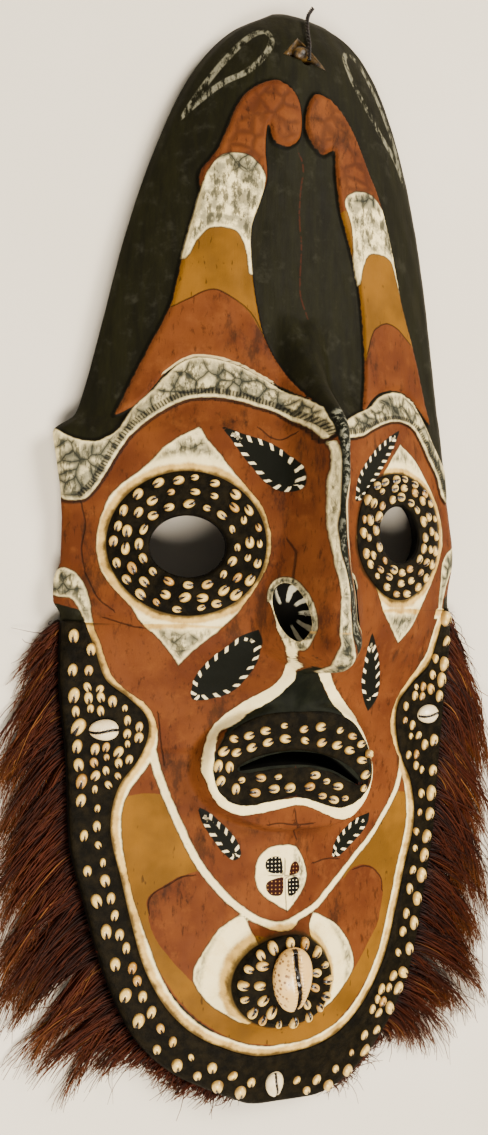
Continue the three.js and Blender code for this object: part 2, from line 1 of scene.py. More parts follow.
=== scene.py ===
import math
import random
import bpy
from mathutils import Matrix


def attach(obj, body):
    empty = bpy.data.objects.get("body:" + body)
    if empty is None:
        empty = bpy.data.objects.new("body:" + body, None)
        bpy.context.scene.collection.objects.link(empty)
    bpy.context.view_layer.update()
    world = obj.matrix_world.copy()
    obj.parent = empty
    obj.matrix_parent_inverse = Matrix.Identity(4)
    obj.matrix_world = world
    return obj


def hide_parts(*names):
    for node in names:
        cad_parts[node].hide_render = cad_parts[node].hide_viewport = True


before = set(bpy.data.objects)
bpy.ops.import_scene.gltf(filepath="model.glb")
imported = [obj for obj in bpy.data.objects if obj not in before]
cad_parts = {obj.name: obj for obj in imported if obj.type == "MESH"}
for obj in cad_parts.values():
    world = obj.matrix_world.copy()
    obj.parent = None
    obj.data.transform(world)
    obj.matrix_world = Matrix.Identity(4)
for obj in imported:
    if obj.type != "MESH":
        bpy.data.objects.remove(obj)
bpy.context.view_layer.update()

from types import SimpleNamespace

import bmesh
import bpy
import numpy as np
from mathutils import Matrix, Vector

# A tall painted mask with shell-set bands, lying face up on its flat back rim. Sizes are in
# millimetres, with X to the viewer's right, Y to the crown and Z out of the face. The face is first
# laid out even, left mirroring right, and then its right half is moved as the carver left it.

MM = 0.001
CROWN_END = 397
CHIN_END = -394
# The rim that the mask lies on: its height, how much narrower it is below, and its width behind
RIM_HEIGHT = 18
RIM_TAPER = 0.97
RIM_WIDTH = 15
# The wood's thickness between the front and the hollow
WALL = 17

LIPS = {"y": -146, "half_x": 70, "half_y": 46, "top": 58, "edge": 0.12}
BOSS = {"y": -293, "half_x": 46, "half_y": 42, "rise": 12, "edge": 0.3}
EYE = {"x": 82, "y": 7, "radius": 48, "hole_x": 81, "hole_y": 5, "half_x": 23, "half_y": 20.5}
DISC = {"y": -294, "half_x": 38, "half_y": 33.5}
NOSTRIL = {"x": 20, "y": -38, "z": 101, "half": (13, 24, 15), "roll": 38, "lean": 48}
# How far the shell paste stands out of the wood, and goes into it
PASTE_RISE = 2.2
PASTE_SINK = 3


# The camera, found from matching points on both halves of the face in the photograph

# Its place in metres, and its own axes as rows: to its right, up and backward
CAMERA_PLACE = (-0.312478, -0.015243, 0.731820)
CAMERA_ROWS = (
    (0.926788, 0.025441, 0.374721),
    (-0.027345, 0.999626, -0.000237),
    (-0.374587, -0.010027, 0.927138),
)
FOCAL_PIXELS = 1068.74
FRAME_HEIGHT = 1135
SENSOR = 36


def make_camera():
    data = bpy.data.cameras.new("camera")
    data.sensor_width = SENSOR
    data.lens = FOCAL_PIXELS / FRAME_HEIGHT * SENSOR
    data.clip_start = 0.01
    data.clip_end = 20
    camera = bpy.data.objects.new("camera", data)
    bpy.context.collection.objects.link(camera)
    turn = Matrix(CAMERA_ROWS).transposed().to_4x4()
    camera.matrix_world = Matrix.Translation(CAMERA_PLACE) @ turn
    bpy.context.scene.camera = camera


make_camera()


# Curves and surfaces of the carving

def curve(pairs):
    """A smooth curve through pairs of place and value that never overshoots them."""
    place, value = np.array(sorted(pairs), float).T
    steps = np.diff(value) / np.diff(place)
    slopes = np.zeros(len(place))
    slopes[0], slopes[-1] = steps[0], steps[-1]
    before, after = steps[:-1], steps[1:]
    same = before * after > 0
    slopes[1:-1][same] = 2 * before[same] * after[same] / (before[same] + after[same])

    def at(x):
        x = np.clip(x, place[0], place[-1])
        i = np.clip(np.searchsorted(place, x, side="right") - 1, 0, len(place) - 2)
        span = place[i + 1] - place[i]
        t = (x - place[i]) / span
        rest = 1 - t
        return (value[i] * (1 + 2 * t) * rest**2 + slopes[i] * span * t * rest**2
                + value[i + 1] * t**2 * (3 - 2 * t) - slopes[i + 1] * span * t**2 * rest)

    return at


# Half widths, heights and the nose's form, each by its place between chin and crown. Those of the
# left half and of the front are on the even face, and the right half's are where they really lie
left_half = curve([
    (397, 12), (377, 44), (352, 66), (324, 82), (290, 96), (252, 109), (209, 121), (152, 134),
    (102, 146.5), (93, 150), (80, 165), (60, 162), (21, 157), (-6, 157), (-20, 161.5), (-33, 161.5),
    (-43, 156.5), (-75, 157), (-143, 150), (-195, 146.5), (-240, 135), (-283, 122), (-328, 102),
    (-347, 88), (-364, 69), (-379, 43), (-394, 12)])
right_half = curve([
    (395, 31), (383, 56), (355, 78), (310, 97), (272, 108), (227, 118), (173, 127), (120, 135),
    (93, 140), (50, 146), (2, 153), (-28, 149), (-55, 151), (-106, 147), (-145, 144), (-207, 140),
    (-246, 134), (-306, 123), (-338, 110), (-360, 96), (-383, 73), (-392, 57), (-397, 40)])
crest_height = curve([
    (397, 22), (360, 40), (300, 47), (200, 52), (130, 60), (80, 85), (15, 95), (-50, 90), (-80, 72),
    (-100, 60), (-140, 54), (-200, 48), (-260, 50), (-310, 46), (-351, 36), (-394, 22)])
fall_power = curve([
    (397, 2.3), (200, 2.2), (130, 1.8), (80, 1.3), (15, 1.1), (-50, 1.3), (-110, 1), (-170, 0.95),
    (-230, 1.1), (-300, 1.4), (-394, 2)])
nose_rise = curve([
    (165, 0), (140, 12), (110, 27), (80, 42), (15, 34), (-50, 44), (-66, 56), (-72, 54), (-80, 0)])
NOSE_SWEEP = 0.5
nose_half = curve([(165, 22), (80, 22), (30, 24), (0, 28), (-30, 40), (-60, 45), (-80, 38)])
# How far the carver moved the right half up, past a short reach from the middle line
right_lift = curve([
    (397, -2), (330, -6), (285, -12), (235, -3), (180, -5), (130, -7), (95, 2), (60, 7), (25, 14),
    (-20, 14), (-70, 10), (-118, 5), (-145, -5), (-175, -9), (-230, -6), (-290, -9), (-350, -9),
    (-394, -3)])
LIFT_REACH = 55
EVEN_STEPS = 10


def smooth_step(t):
    t = np.clip(t, 0, 1)
    return t * t * (3 - 2 * t)


def half_width(x, y):
    """How far the body reaches from the middle line, on the side that x is on."""
    return np.where(np.asarray(x) < 0, left_half(y), right_half(y + right_lift(y)))


def shoulder(x, y):
    """Height of the plain rounded form under the nose, the lips and the chin's boss."""
    outward = np.clip(np.hypot(x, 2) / half_width(x, y), 0, 1)
    return RIM_HEIGHT + (crest_height(y) - RIM_HEIGHT) * (1 - outward ** fall_power(y))


def front(x, y):
    """Height of the carved front over the floor, without the low relief."""
    beside = np.clip(np.abs(x) / nose_half(y), 0, 1)
    along_nose = y - NOSE_SWEEP * np.abs(x)
    wood = shoulder(x, y) + nose_rise(along_nose) * 0.5 * (1 + np.cos(np.pi * beside))
    in_lips = 1 - np.hypot(x / LIPS["half_x"], (y - LIPS["y"]) / LIPS["half_y"])
    in_boss = 1 - np.hypot(x / BOSS["half_x"], (y - BOSS["y"]) / BOSS["half_y"])
    lipped = wood + (LIPS["top"] - wood) * smooth_step(in_lips / LIPS["edge"])
    return np.maximum(wood, lipped) + BOSS["rise"] * smooth_step(in_boss / BOSS["edge"])


def lifted(x, y):
    """Where an even point's y really lies."""
    return y + right_lift(y) * smooth_step(np.asarray(x) / LIFT_REACH)


def even_height(x, lifted_y):
    """The even height of points that have already been lifted, found step by step."""
    y = lifted_y
    for _ in range(EVEN_STEPS):
        y = lifted_y - right_lift(y) * smooth_step(x / LIFT_REACH)
    return y


def placed(x, y, z):
    """Even points to real ones, as an array of corners."""
    x, y, z = np.broadcast_arrays(x, y, z)
    return np.stack([x, lifted(x, y), z], -1)


def on_front(x, y, rise=0.0):
    """Real points at even places on the front, raised from it."""
    return placed(x, y, front(x, y) + rise)


# Outlines and distances on the even face

def through(points, closed=True, parts=8):
    """A smooth line through points. A point with a third value is a sharp corner."""
    spots = np.array([p[:2] for p in points], float)
    sharp = [len(p) > 2 for p in points]
    count = len(points)
    line = []
    for i in range(count if closed else count - 1):
        a, b = spots[i], spots[(i + 1) % count]
        length = np.linalg.norm(b - a)

        def slope(k, own):
            inside = closed or 0 < k < count - 1
            if sharp[k % count] or not inside:
                return own
            before, after = spots[(k - 1) % count], spots[(k + 1) % count]
            near = np.linalg.norm(spots[k % count] - before) + np.linalg.norm(after - spots[k % count])
            return (after - before) / near * length

        start, end = slope(i, b - a), slope(i + 1, b - a)
        for t in np.arange(parts) / parts:
            line.append((2 * t**3 - 3 * t**2 + 1) * a + (t**3 - 2 * t**2 + t) * start
                        + (3 * t**2 - 2 * t**3) * b + (t**3 - t**2) * end)
    if not closed:
        line.append(spots[-1])
    return np.array(line)


def nostril_frame(side):
    """A nostril's centre, and its three axes as columns."""
    roll, lean = math.radians(-side * NOSTRIL["roll"]), math.radians(side * NOSTRIL["lean"])
    axes = Matrix.Rotation(lean, 3, "Y") @ Matrix.Rotation(roll, 3, "Z")
    return placed(side * NOSTRIL["x"], NOSTRIL["y"], NOSTRIL["z"]), np.array(axes)


# Distances to painted edges are measured up to the first, and those to the nostrils up to the second
FAR = 16
FAR_OFF = 60.0


def near_points(x, y, line):
    """The numbers of the points that may lie within reach of a line, and their places."""
    low, high = line.min(0) - FAR, line.max(0) + FAR
    near = np.nonzero((x > low[0]) & (x < high[0]) & (y > low[1]) & (y < high[1]))[0]
    return near, x[near], y[near]


def depth_in(x, y, loop):
    """How deep points lie inside a closed outline, in mm, and below zero outside it."""
    depth = np.full(len(x), -float(FAR))
    near, px, py = near_points(x, y, loop)
    best = np.full(len(near), float(FAR))
    inside = np.zeros(len(near), bool)
    for (ax, ay), (bx, by) in zip(loop, np.roll(loop, -1, axis=0)):
        dx, dy = bx - ax, by - ay
        t = np.clip(((px - ax) * dx + (py - ay) * dy) / (dx * dx + dy * dy + 1e-9), 0, 1)
        best = np.minimum(best, np.hypot(px - ax - t * dx, py - ay - t * dy))
        crosses = (ay > py) != (by > py)
        inside ^= crosses & (px < ax + (py - ay) * dx / (dy if dy else 1e-9))
    depth[near] = np.where(inside, best, -best)
    return depth


def along_line(x, y, line):
    """Distance to an open line, the run along it in mm, and the side of it, for each point."""
    away = np.full(len(x), float(FAR))
    run = np.zeros(len(x))
    side = np.ones(len(x))
    near, px, py = near_points(x, y, line)
    best, best_run, best_side = away[near], run[near], side[near]
    start = 0.0
    for (ax, ay), (bx, by) in zip(line[:-1], line[1:]):
        dx, dy = bx - ax, by - ay
        length = math.hypot(dx, dy)
        t = np.clip(((px - ax) * dx + (py - ay) * dy) / (length**2 + 1e-9), 0, 1)
        gap = np.hypot(px - ax - t * dx, py - ay - t * dy)
        closer = gap < best
        best = np.where(closer, gap, best)
        best_run = np.where(closer, start + t * length, best_run)
        turned = np.where(dx * (py - ay) - dy * (px - ax) < 0, -1, 1)
        best_side = np.where(closer, turned, best_side)
        start += length
    away[near], run[near], side[near] = best, best_run, best_side
    return away, run, side


def stroke(x, y, points, width, closed=False):
    """How deep points lie inside a painted stroke of a given width."""
    return width / 2 - along_line(x, y, through(points, closed))[0]


def mirrored(points):
    return [(-p[0], *p[1:]) for p in points]


def any_of(*depths):
    return np.maximum.reduce(depths)


def both(*depths):
    return np.minimum.reduce(depths)


# Painted and carved outlines, on the even face, measured on the photograph

FIGURE_LEFT = [
    (-127, 92, 1), (-104, 142), (-91, 170), (-84, 202), (-79, 222), (-72, 250), (-72, 264), (-65, 274),
    (-60, 282), (-55, 294), (-48, 312), (-38, 326), (-20, 335), (-8, 330), (-2, 318), (-2, 297),
    (-11, 288), (-21, 290), (-26, 302), (-28, 284), (-27, 262), (-32, 246), (-38, 226), (-37, 194),
    (-33, 166), (-28, 148), (-17, 126), (-8, 99, 1), (-17, 113), (-32, 123), (-50, 132), (-74, 135),
    (-85, 131), (-95, 122), (-106, 108), (-116, 98)]
FIGURE_RIGHT = [
    (121, 105, 1), (111, 140), (100, 168), (90, 192), (84, 212), (75, 245), (66, 277), (54, 298),
    (40, 318), (24, 330), (11, 331), (4, 320), (2, 307), (5, 296), (15, 289), (25, 296), (27, 277),
    (31, 250), (38, 228), (46, 203), (50, 171), (51, 138), (45, 104, 1), (62, 126), (80, 132),
    (100, 127)]
FIGURE_WHITE_LEFT = [
    (-47, 278), (-58, 276), (-67, 266), (-73, 248), (-78, 234), (-82, 218), (-88, 204), (-82, 202),
    (-75, 215), (-66, 224), (-50, 223), (-43, 212), (-40, 194), (-36, 194), (-36, 210), (-33, 236),
    (-29, 262), (-36, 274)]
FIGURE_WHITE_RIGHT = [
    (38, 270), (49, 277), (60, 275), (69, 265), (77, 246), (83, 223), (89, 200), (85, 203), (77, 222),
    (70, 226), (55, 224), (49, 213), (46, 200), (42, 215), (38, 244), (33, 260)]
FIGURE_OCHRE_LEFT = [
    (-95, 245), (-30, 250), (-28, 190), (-28, 148, 1), (-33, 155), (-41, 167), (-52, 176), (-65, 181),
    (-80, 174), (-92, 167), (-104, 160, 1)]
FIGURE_OCHRE_RIGHT = [
    (30, 250), (88, 245), (104, 190), (102, 164, 1), (96, 168), (83, 176), (71, 178), (59, 171),
    (53, 155), (50, 140, 1), (42, 180)]
BROW_LEFT = [
    (-166, 84, 1), (-155, 77), (-143, 74), (-136, 75), (-126, 82), (-115, 98), (-104, 109), (-94, 121),
    (-84, 130), (-74, 134), (-56, 132), (-42, 127), (-26, 118), (-13, 107), (-7, 98, 1), (-5, 79, 1),
    (-9, 75, 1), (-14, 86), (-25, 96), (-40, 101), (-55, 105), (-68, 106), (-82, 104), (-94, 98),
    (-108, 88), (-118, 78), (-125, 67), (-131, 55), (-137, 44), (-145, 35), (-158, 36), (-164, 56)]
BROW_RIGHT = [
    (20, 80, 1), (26, 94, 1), (52, 111), (64, 124), (73, 129), (83, 131), (92, 130), (102, 125),
    (113, 108), (122, 91), (136, 73), (143, 62), (145, 48), (142, 34), (136, 39), (128, 60),
    (118, 73), (108, 87), (99, 97), (90, 101), (79, 101), (67, 97), (52, 89), (41, 83)]
BROW_LOWER_EDGES = (BROW_LEFT[16:30], BROW_RIGHT[14:] + BROW_RIGHT[:1])
TAB_LEFT = [
    (-164, -20), (-160, -13), (-156, -11), (-149, -14), (-144, -21), (-140, -32), (-138, -42),
    (-136, -54), (-135, -68, 1), (-139, -54), (-143, -44), (-148, -35), (-152, -31), (-158, -31),
    (-164, -28)]
TAB_RIGHT = [
    (156, -2), (150, -2), (141, -7), (136, -15), (135, -28), (134, -40), (135, -58, 1), (139, -45),
    (144, -32), (148, -23), (156, -17)]
RHOMB_LEFT = [
    (-75, 85, 1), (-71, 77), (-63, 67), (-55, 56), (-47, 46), (-38, 34), (-33, 21), (-31, 8), (-33, -5),
    (-38, -17), (-45, -29), (-52, -40), (-62, -51), (-70, -59), (-77, -67), (-82, -75, 1), (-91, -64),
    (-99, -55), (-108, -47), (-115, -36), (-125, -25), (-132, -15), (-135, -4), (-136, 9), (-134, 22),
    (-130, 35), (-124, 44), (-116, 51), (-106, 60), (-97, 71), (-85, 80)]
RHOMB_RIGHT = [
    (83, 81, 1), (95, 74), (108, 63), (121, 45), (132, 27), (136, 12), (135, -4), (128, -19),
    (119, -34), (111, -44), (102, -55), (95, -63), (87, -70, 1), (77, -61), (66, -51), (58, -38),
    (50, -26), (44, -15), (38, -5), (33, 6, 1), (38, 15), (45, 24), (53, 35), (61, 49), (70, 64)]
TEARDROP_LEFT = [
    (-23, 376), (-34, 372), (-50, 355), (-65, 335), (-78, 314), (-84, 302, 1), (-70, 316), (-54, 330),
    (-37, 340), (-23, 356), (-19, 368)]
TEARDROP_RIGHT = [
    (43, 378), (38, 369), (43, 355), (54, 341), (69, 325), (86, 311), (98, 296, 1), (94, 312),
    (82, 336), (67, 359), (54, 376)]
LEAVES = [
    [(-63, 87, 1), (-56, 84), (-45, 80), (-33, 76), (-24, 71), (-16, 62), (-14, 52), (-16, 44),
     (-25, 43), (-34, 48), (-41, 56), (-48, 65), (-56, 77)],
    [(84, 94, 1), (77, 81), (69, 68), (62, 58), (54, 46), (47, 37), (40, 31), (33, 31), (33, 38),
     (35, 48), (41, 58), (50, 68), (59, 77), (71, 86)],
    [(-38, -49, 1), (-35, -58), (-33, -70), (-37, -83), (-44, -93), (-56, -98), (-69, -99),
     (-71, -91), (-70, -82), (-64, -71), (-56, -62), (-48, -54)],
    [(55, -61, 1), (56, -72), (57, -82), (60, -98), (64, -109), (69, -116, 1), (76, -109), (78, -100),
     (76, -91), (70, -79), (62, -69)],
    [(-62, -173, 1), (-53, -178), (-45, -185), (-38, -192), (-33, -199), (-31, -208), (-36, -211),
     (-44, -205), (-52, -194), (-58, -185)],
    [(75, -177, 1), (63, -180), (54, -185), (47, -192), (42, -201), (42, -209), (49, -207),
     (61, -198), (69, -191), (74, -184)]]
PHILTRUM = [
    (-23, -57, 1), (-16, -63), (-5, -71, 1), (3, -76), (12, -80), (20, -84), (22, -92), (28, -100),
    (37, -110), (46, -120), (58, -131, 1), (60, -150), (0, -150), (-60, -150), (-59, -136, 1),
    (-46, -115), (-31, -106), (-21, -100), (-12, -93), (-7, -86), (-6, -77), (-15, -66)]
LIP_OUTLINE = [
    (0, -107), (-24, -109), (-45, -118), (-56, -131), (-59, -146), (-55, -160), (-38, -170),
    (-18, -169), (0, -165), (16, -168), (36, -170), (54, -161), (60, -146), (56, -131), (45, -119),
    (24, -110)]
LIP_GROOVE = [
    (2, -134), (-14, -134.7), (-27, -137.3), (-37, -141.5), (-41, -144.8), (-36, -147), (-26, -146.2),
    (-12, -144.8), (2, -144.2), (17, -144.8), (31, -147), (44, -151.5), (53, -153.5), (48, -146.5),
    (36, -140.3), (19, -135.8)]
MOUTH_LINE = [
    (-33, -29, 1), (-31, -36), (-30, -48), (-28, -55), (-24, -63), (-15, -72), (-14, -78), (-16, -85),
    (-21, -91), (-36, -101), (-45, -108), (-52, -115), (-59, -125), (-63, -134), (-65, -144),
    (-63, -152), (-59, -161), (-53, -169), (-45, -174), (-36, -176), (-22, -175), (-9, -173),
    (4, -171), (14, -172), (27, -175), (39, -176), (50, -172), (59, -166), (64, -157), (66, -147),
    (66, -137), (63, -129), (56, -119), (48, -111), (41, -104), (34, -96), (29, -90), (24, -83),
    (17, -76, 1), (12, -80, 1), (18, -87), (24, -94), (30, -102), (35, -110), (40, -116), (47, -121),
    (54, -127), (60, -134), (62, -143), (61, -152), (55, -160), (47, -165), (38, -168), (30, -169),
    (18, -168), (6, -166), (-5, -167), (-17, -168), (-30, -170), (-41, -169), (-49, -165), (-55, -158),
    (-59, -148), (-59, -138), (-57, -128), (-52, -120), (-42, -114), (-31, -107), (-21, -102),
    (-13, -96), (-8, -89), (-5, -83), (-8, -75), (-19, -66), (-23, -59), (-26, -53), (-27, -46),
    (-27, -38), (-29, -29, 1)]
NOSE_WING_STRIP = [(-21, -61), (-16, -66), (-10, -69), (-7, -70)]
NOSE_BAND = [
    (-9, 75, 1), (-7, 68), (-7, 57), (-8, 46), (-8, 33), (-8, 20), (-7, 11), (-6, 1), (-5, -9),
    (-3, -20), (-3, -31), (-4, -43), (-5, -54), (-8, -62), (-7, -71, 1), (-3, -76), (3, -76), (6, -69),
    (4, -60), (5, -46), (4, -34), (4, -23), (2, -12), (-2, 1), (-3, 11), (-4, 20), (-3, 30), (-3, 41),
    (-3, 52), (-3, 65), (-5, 74, 1)]
NOSE_SHADE = [
    (-5, 82, 1), (-3, 64), (-3, 30), (-4, 18), (-2, 2), (2, -12), (4, -24), (5, -46), (6, -62, 1),
    (13, -58), (14, -42), (12, -28), (8, -13), (4, -2), (2, 9), (1, 20), (1, 38), (6, 54), (14, 66),
    (22, 80, 1), (26, 96), (12, 100), (-6, 94)]
NOSE_OCHRE = [(10, -30), (14, -40), (14, -52), (10, -64), (7, -63), (6, -52), (7, -42), (8, -32)]
NOSE_FLANK_LINE = [
    (24, 80), (16, 68), (8, 56), (3, 47), (1, 37), (1, 28), (2, 18), (4, 7), (8, -4), (14, -19),
    (18, -35), (19, -48), (16, -62)]
JAW_LINE = [
    (-94, -134), (-89, -151), (-82, -168), (-74, -185), (-67, -200), (-59, -214), (-49, -227),
    (-39, -238), (-26, -248), (-15, -254), (-2, -256), (11, -252), (26, -244), (37, -234), (50, -221),
    (64, -208), (78, -194), (89, -179), (98, -166), (103, -153), (104, -141)]
WING_LEFT = [
    (-60, -218, 1), (-67, -220), (-73, -222), (-82, -227), (-91, -233), (-94, -238), (-93, -245),
    (-91, -255), (-86, -266), (-77, -278), (-67, -289), (-58, -298, 1), (-40, -270), (-30, -250)]
WING_RIGHT = [
    (58, -220, 1), (64, -218), (72, -218), (81, -222), (88, -230), (90, -240), (88, -251),
    (85, -262), (76, -274), (68, -285), (62, -292, 1), (40, -270), (30, -250)]
LOBE_LEFT = [
    (-28, -250), (-44, -257), (-51, -266), (-57, -276), (-61, -285), (-61, -294), (-56, -303),
    (-49, -311), (-39, -318), (-29, -324), (-22, -326, 1), (-18, -290)]
LOBE_RIGHT = [
    (24, -250), (36, -252), (45, -256), (54, -265), (60, -275), (63, -286), (60, -294), (53, -302),
    (46, -310), (38, -316, 1), (18, -286)]
CHIN_OVAL = [
    (0, -201), (9, -203), (15, -211), (18, -222), (15, -232), (9, -240), (2, -247, 1), (-8, -241),
    (-16, -235), (-20, -228), (-21, -219), (-19, -210), (-12, -203)]
DARK_PETALS = [
    [(-13, -211), (-8, -209), (-3, -210), (-1, -221, 1), (-11, -220), (-14, -216)],
    [(2, -225, 1), (10, -224), (12, -230), (9, -235), (3, -237)]]
RED_PETALS = [
    [(5, -215), (9, -213), (12, -217), (11, -221), (3, -223, 1)],
    [(-13, -227), (-7, -224), (-1, -223, 1), (-2, -235), (-9, -236), (-13, -232)]]
BAND_INNER = [
    (-142, -47), (-135, -66), (-127, -86), (-112, -98), (-99, -111), (-97, -124), (-103, -141),
    (-114, -157), (-119, -174), (-119, -194), (-112, -221), (-103, -256), (-93, -287), (-75, -317),
    (-48, -339), (0, -354)]
CREAM_EDGE = [
    (-141, -31), (-133, -62), (-124, -84), (-114, -94), (-100, -104), (-92, -120), (-93, -138),
    (-102, -155), (-112, -170), (-113, -192), (-107, -225), (-98, -254), (-84, -286), (-62, -316),
    (-30, -338), (-7, -344), (13, -346), (33, -339), (56, -323), (78, -298), (91, -270), (103, -227),
    (111, -190), (112, -172), (104, -146), (93, -126), (96, -112), (107, -98), (119, -84), (128, -56),
    (134, -31)]
JAW_BAND = BAND_INNER + mirrored(BAND_INNER[::-1])[1:]
FACE = [
    (-5, 78, 1), (-14, 93), (-35, 103), (-57, 107), (-79, 106), (-101, 96), (-118, 81), (-130, 62),
    (-140, 43, 1), (-180, 36, 1), (-180, -30, 1), (-142, -40, 1), *BAND_INNER[1:-1], (0, -354),
    *mirrored(BAND_INNER[::-1])[1:-1], (142, -40, 1), (180, -20, 1), (180, 40, 1), (137, 42, 1),
    (118, 76), (106, 90), (91, 104), (74, 103), (52, 93), (35, 82), (5, 74, 1)]

# Thin painted lines; dark lines, the first two painted shadow under the wings' upper edges and the rest
# cracks that show dark; and cracks down to the red wood
LIGHT_LINES = [
    NOSE_FLANK_LINE,
    [(-96, 122), (-84, 131.5), (-74, 135), (-56, 133), (-42, 128), (-26, 119)]]
DARK_LINES = [
    # Painted shadow along the upper edges of the wings, as under a carved step
    [(-63, -221), (-71, -222), (-82, -228), (-90, -233), (-93, -239), (-92, -246)],
    [(62, -220), (72, -219), (81, -223), (88, -231), (89, -239)],
    [(-143, -14), (-139, -23), (-134, -32), (-125, -39)], [(-130, -44), (-114, -49), (-107, -50)],
    [(-38, 85), (-31, 79), (-24, 78), (-17, 82)], [(2, -175), (4, -185), (9, -197)],
    [(24, -214), (36, -210), (46, -210)], [(-18, -184), (-10, -183), (3, -185), (16, -183)],
    [(-91, -109), (-89, -124), (-86, -143)], [(-146, 33), (-143, 18), (-145, 3), (-143, -12)],
    [(-22, -16), (-19, 2), (-22, 11)], [(0, -212), (0, -224), (1, -246)], [(-10, -222), (9, -223)],
    [(-91, 168), (-80, 174), (-65, 181), (-52, 176), (-40, 167), (-31, 153)],
    [(53, 155), (59, 171), (71, 178), (83, 176), (96, 168)]]
RED_LINES = [
    [(-3, 287), (1, 276), (-1, 257), (-2, 242), (0, 219), (-1, 185), (4, 169)],
    [(2, -146), (3, -152), (3, -161), (2, -166)], [(41, -157), (50, -153), (57, -151)],
    [(-125, -273), (-119, -276), (-110, -271), (-100, -270)],
    [(-27, -359), (-10, -368), (8, -368), (20, -360), (33, -356), (57, -349)]]


def areas(x, y, *outlines):
    """How deep points lie inside any of some outlines."""
    return any_of(*[depth_in(x, y, through(points)) for points in outlines])


# The outlines that the paints are made up of, left and right ones together
AREAS = {
    "figures": (FIGURE_LEFT, FIGURE_RIGHT), "brows": (BROW_LEFT, BROW_RIGHT),
    "white_figures": (FIGURE_WHITE_LEFT, FIGURE_WHITE_RIGHT), "tabs": (TAB_LEFT, TAB_RIGHT),
    "rhombs": (RHOMB_LEFT, RHOMB_RIGHT), "lobes": (LOBE_LEFT, LOBE_RIGHT),
    "wings": (WING_LEFT, WING_RIGHT), "lips": (LIP_OUTLINE,), "band_hole": (JAW_BAND,),
    "cream_hole": (CREAM_EDGE,), "mouth_line": (MOUTH_LINE,), "nose_band": (NOSE_BAND,),
    "nose_shade": (NOSE_SHADE,), "chin_oval": (CHIN_OVAL,)}

OCHRE_END = {"top": -164, "bend": 0.012, "x": 96}
BESIDE_CHIN = {"x": 52, "y": -262}
JAW_STROKE = 5.2
WING_STROKE = 3.4
NOSTRIL_RIM = {"start": -0.6, "end": 4.6, "lower_y": -30, "inner_x": 28.5, "outer_x": 40}
BAND_TOP = -47
BAND_LINE = {"width": 8, "slant": 0.4, "from_middle": 80}
HEAD_START = 262
RHOMB_TIPS = (-40, 66)
BESIDE_RING = 9
BESIDE_DISC = 54
LEAF_TIP = 11


def line_fields(x, y, name, lines):
    """Distance to the nearest of some open lines: with its side, and the plain distance."""
    signed = np.full(len(x), float(FAR))
    for points in lines:
        away, _, side = along_line(x, y, through(points, False))
        signed = np.where(away < np.abs(signed), away * side, signed)
    return {name: signed, name + "_near": np.abs(signed)}


def leaf_fields(x, y):
    """Depth inside the leaves, the same less their tips, and the slanted run round them."""
    depth = np.full(len(x), -float(FAR))
    ticked = np.full(len(x), -float(FAR))
    slanted = np.zeros(len(x))
    for points in LEAVES:
        loop = through(points)
        ring = np.concatenate([loop, loop[:1]])
        inside = depth_in(x, y, loop)
        _, run, _ = along_line(x, y, ring)
        whole = np.linalg.norm(np.diff(ring, axis=0), axis=1).sum()
        lean = np.where(run < whole / 2, -0.7, 0.7)
        slanted = np.where(inside > depth, run + lean * inside, slanted)
        depth = np.maximum(depth, inside)
        to_tip = np.minimum.reduce([np.hypot(x - p[0], y - p[1]) for p in points if len(p) > 2])
        ticked = np.maximum(ticked, inside - np.maximum(LEAF_TIP - to_tip, 0))
    return {"leaf": depth, "ticked": ticked, "leaf_run": slanted}


def brow_fields(x, y, brows):
    """Distance to the lower edge of the brow on a point's own side, and the run along it."""
    left, right = (along_line(x, y, through(edge, False)) for edge in BROW_LOWER_EDGES)
    edge, run = (np.where(x < 0, left[k], right[k]) for k in (0, 1))
    return {"brow_edge": np.where(brows > -2, edge, FAR), "brow_run": run}


def from_nostril(x, y, z):
    """Distance in mm from the nearer nostril's wall, above zero outside it."""
    nearest = np.full(len(x), FAR_OFF)
    for side in (-1, 1):
        centre, axes = nostril_frame(side)
        way = placed(x, y, z) - centre
        reach = np.linalg.norm(way @ axes / NOSTRIL["half"], axis=1) + 1e-6
        nearest = np.minimum(nearest, np.linalg.norm(way, axis=1) * (1 - 1 / reach))
    return nearest


def nostril_rim(x, y, nostril):
    """A cream rim round each nostril, left open low on its outer side."""
    rim, out = NOSTRIL_RIM, np.abs(x)
    above_or_within = any_of(y - rim["lower_y"], rim["inner_x"] - out)
    return both(nostril - rim["start"], rim["end"] - nostril, above_or_within, rim["outer_x"] - out)


def band_line(x, y, inside):
    """The cream line along the jaw band's inner edge, which stays out of the face's middle."""
    at_band = np.where(y < BAND_TOP, inside.band_hole, -FAR)
    from_middle = np.abs(x) + BAND_LINE["slant"] * (BAND_TOP - y)
    beside = np.where(from_middle > BAND_LINE["from_middle"], FAR, -FAR)
    return both(at_band, BAND_LINE["width"] - at_band, 1 - inside.cream_hole, beside)


def ochre_area(x, y, inside):
    """Ochre of the figures' middles, a strip on the nose, and the jaw up to a curved end."""
    in_jaw = depth_in(x, y, through(JAW_LINE, False))
    beside_chin = any_of(np.abs(x) - BESIDE_CHIN["x"], BESIDE_CHIN["y"] - y)
    upper_end = OCHRE_END["top"] - OCHRE_END["bend"] * (np.abs(x) - OCHRE_END["x"]) ** 2
    jaw = both(inside.cream_hole, -in_jaw, -inside.wings, upper_end - y, beside_chin)
    figures = both(areas(x, y, FIGURE_OCHRE_LEFT, FIGURE_OCHRE_RIGHT), inside.figures)
    return any_of(figures, jaw, areas(x, y, NOSE_OCHRE))


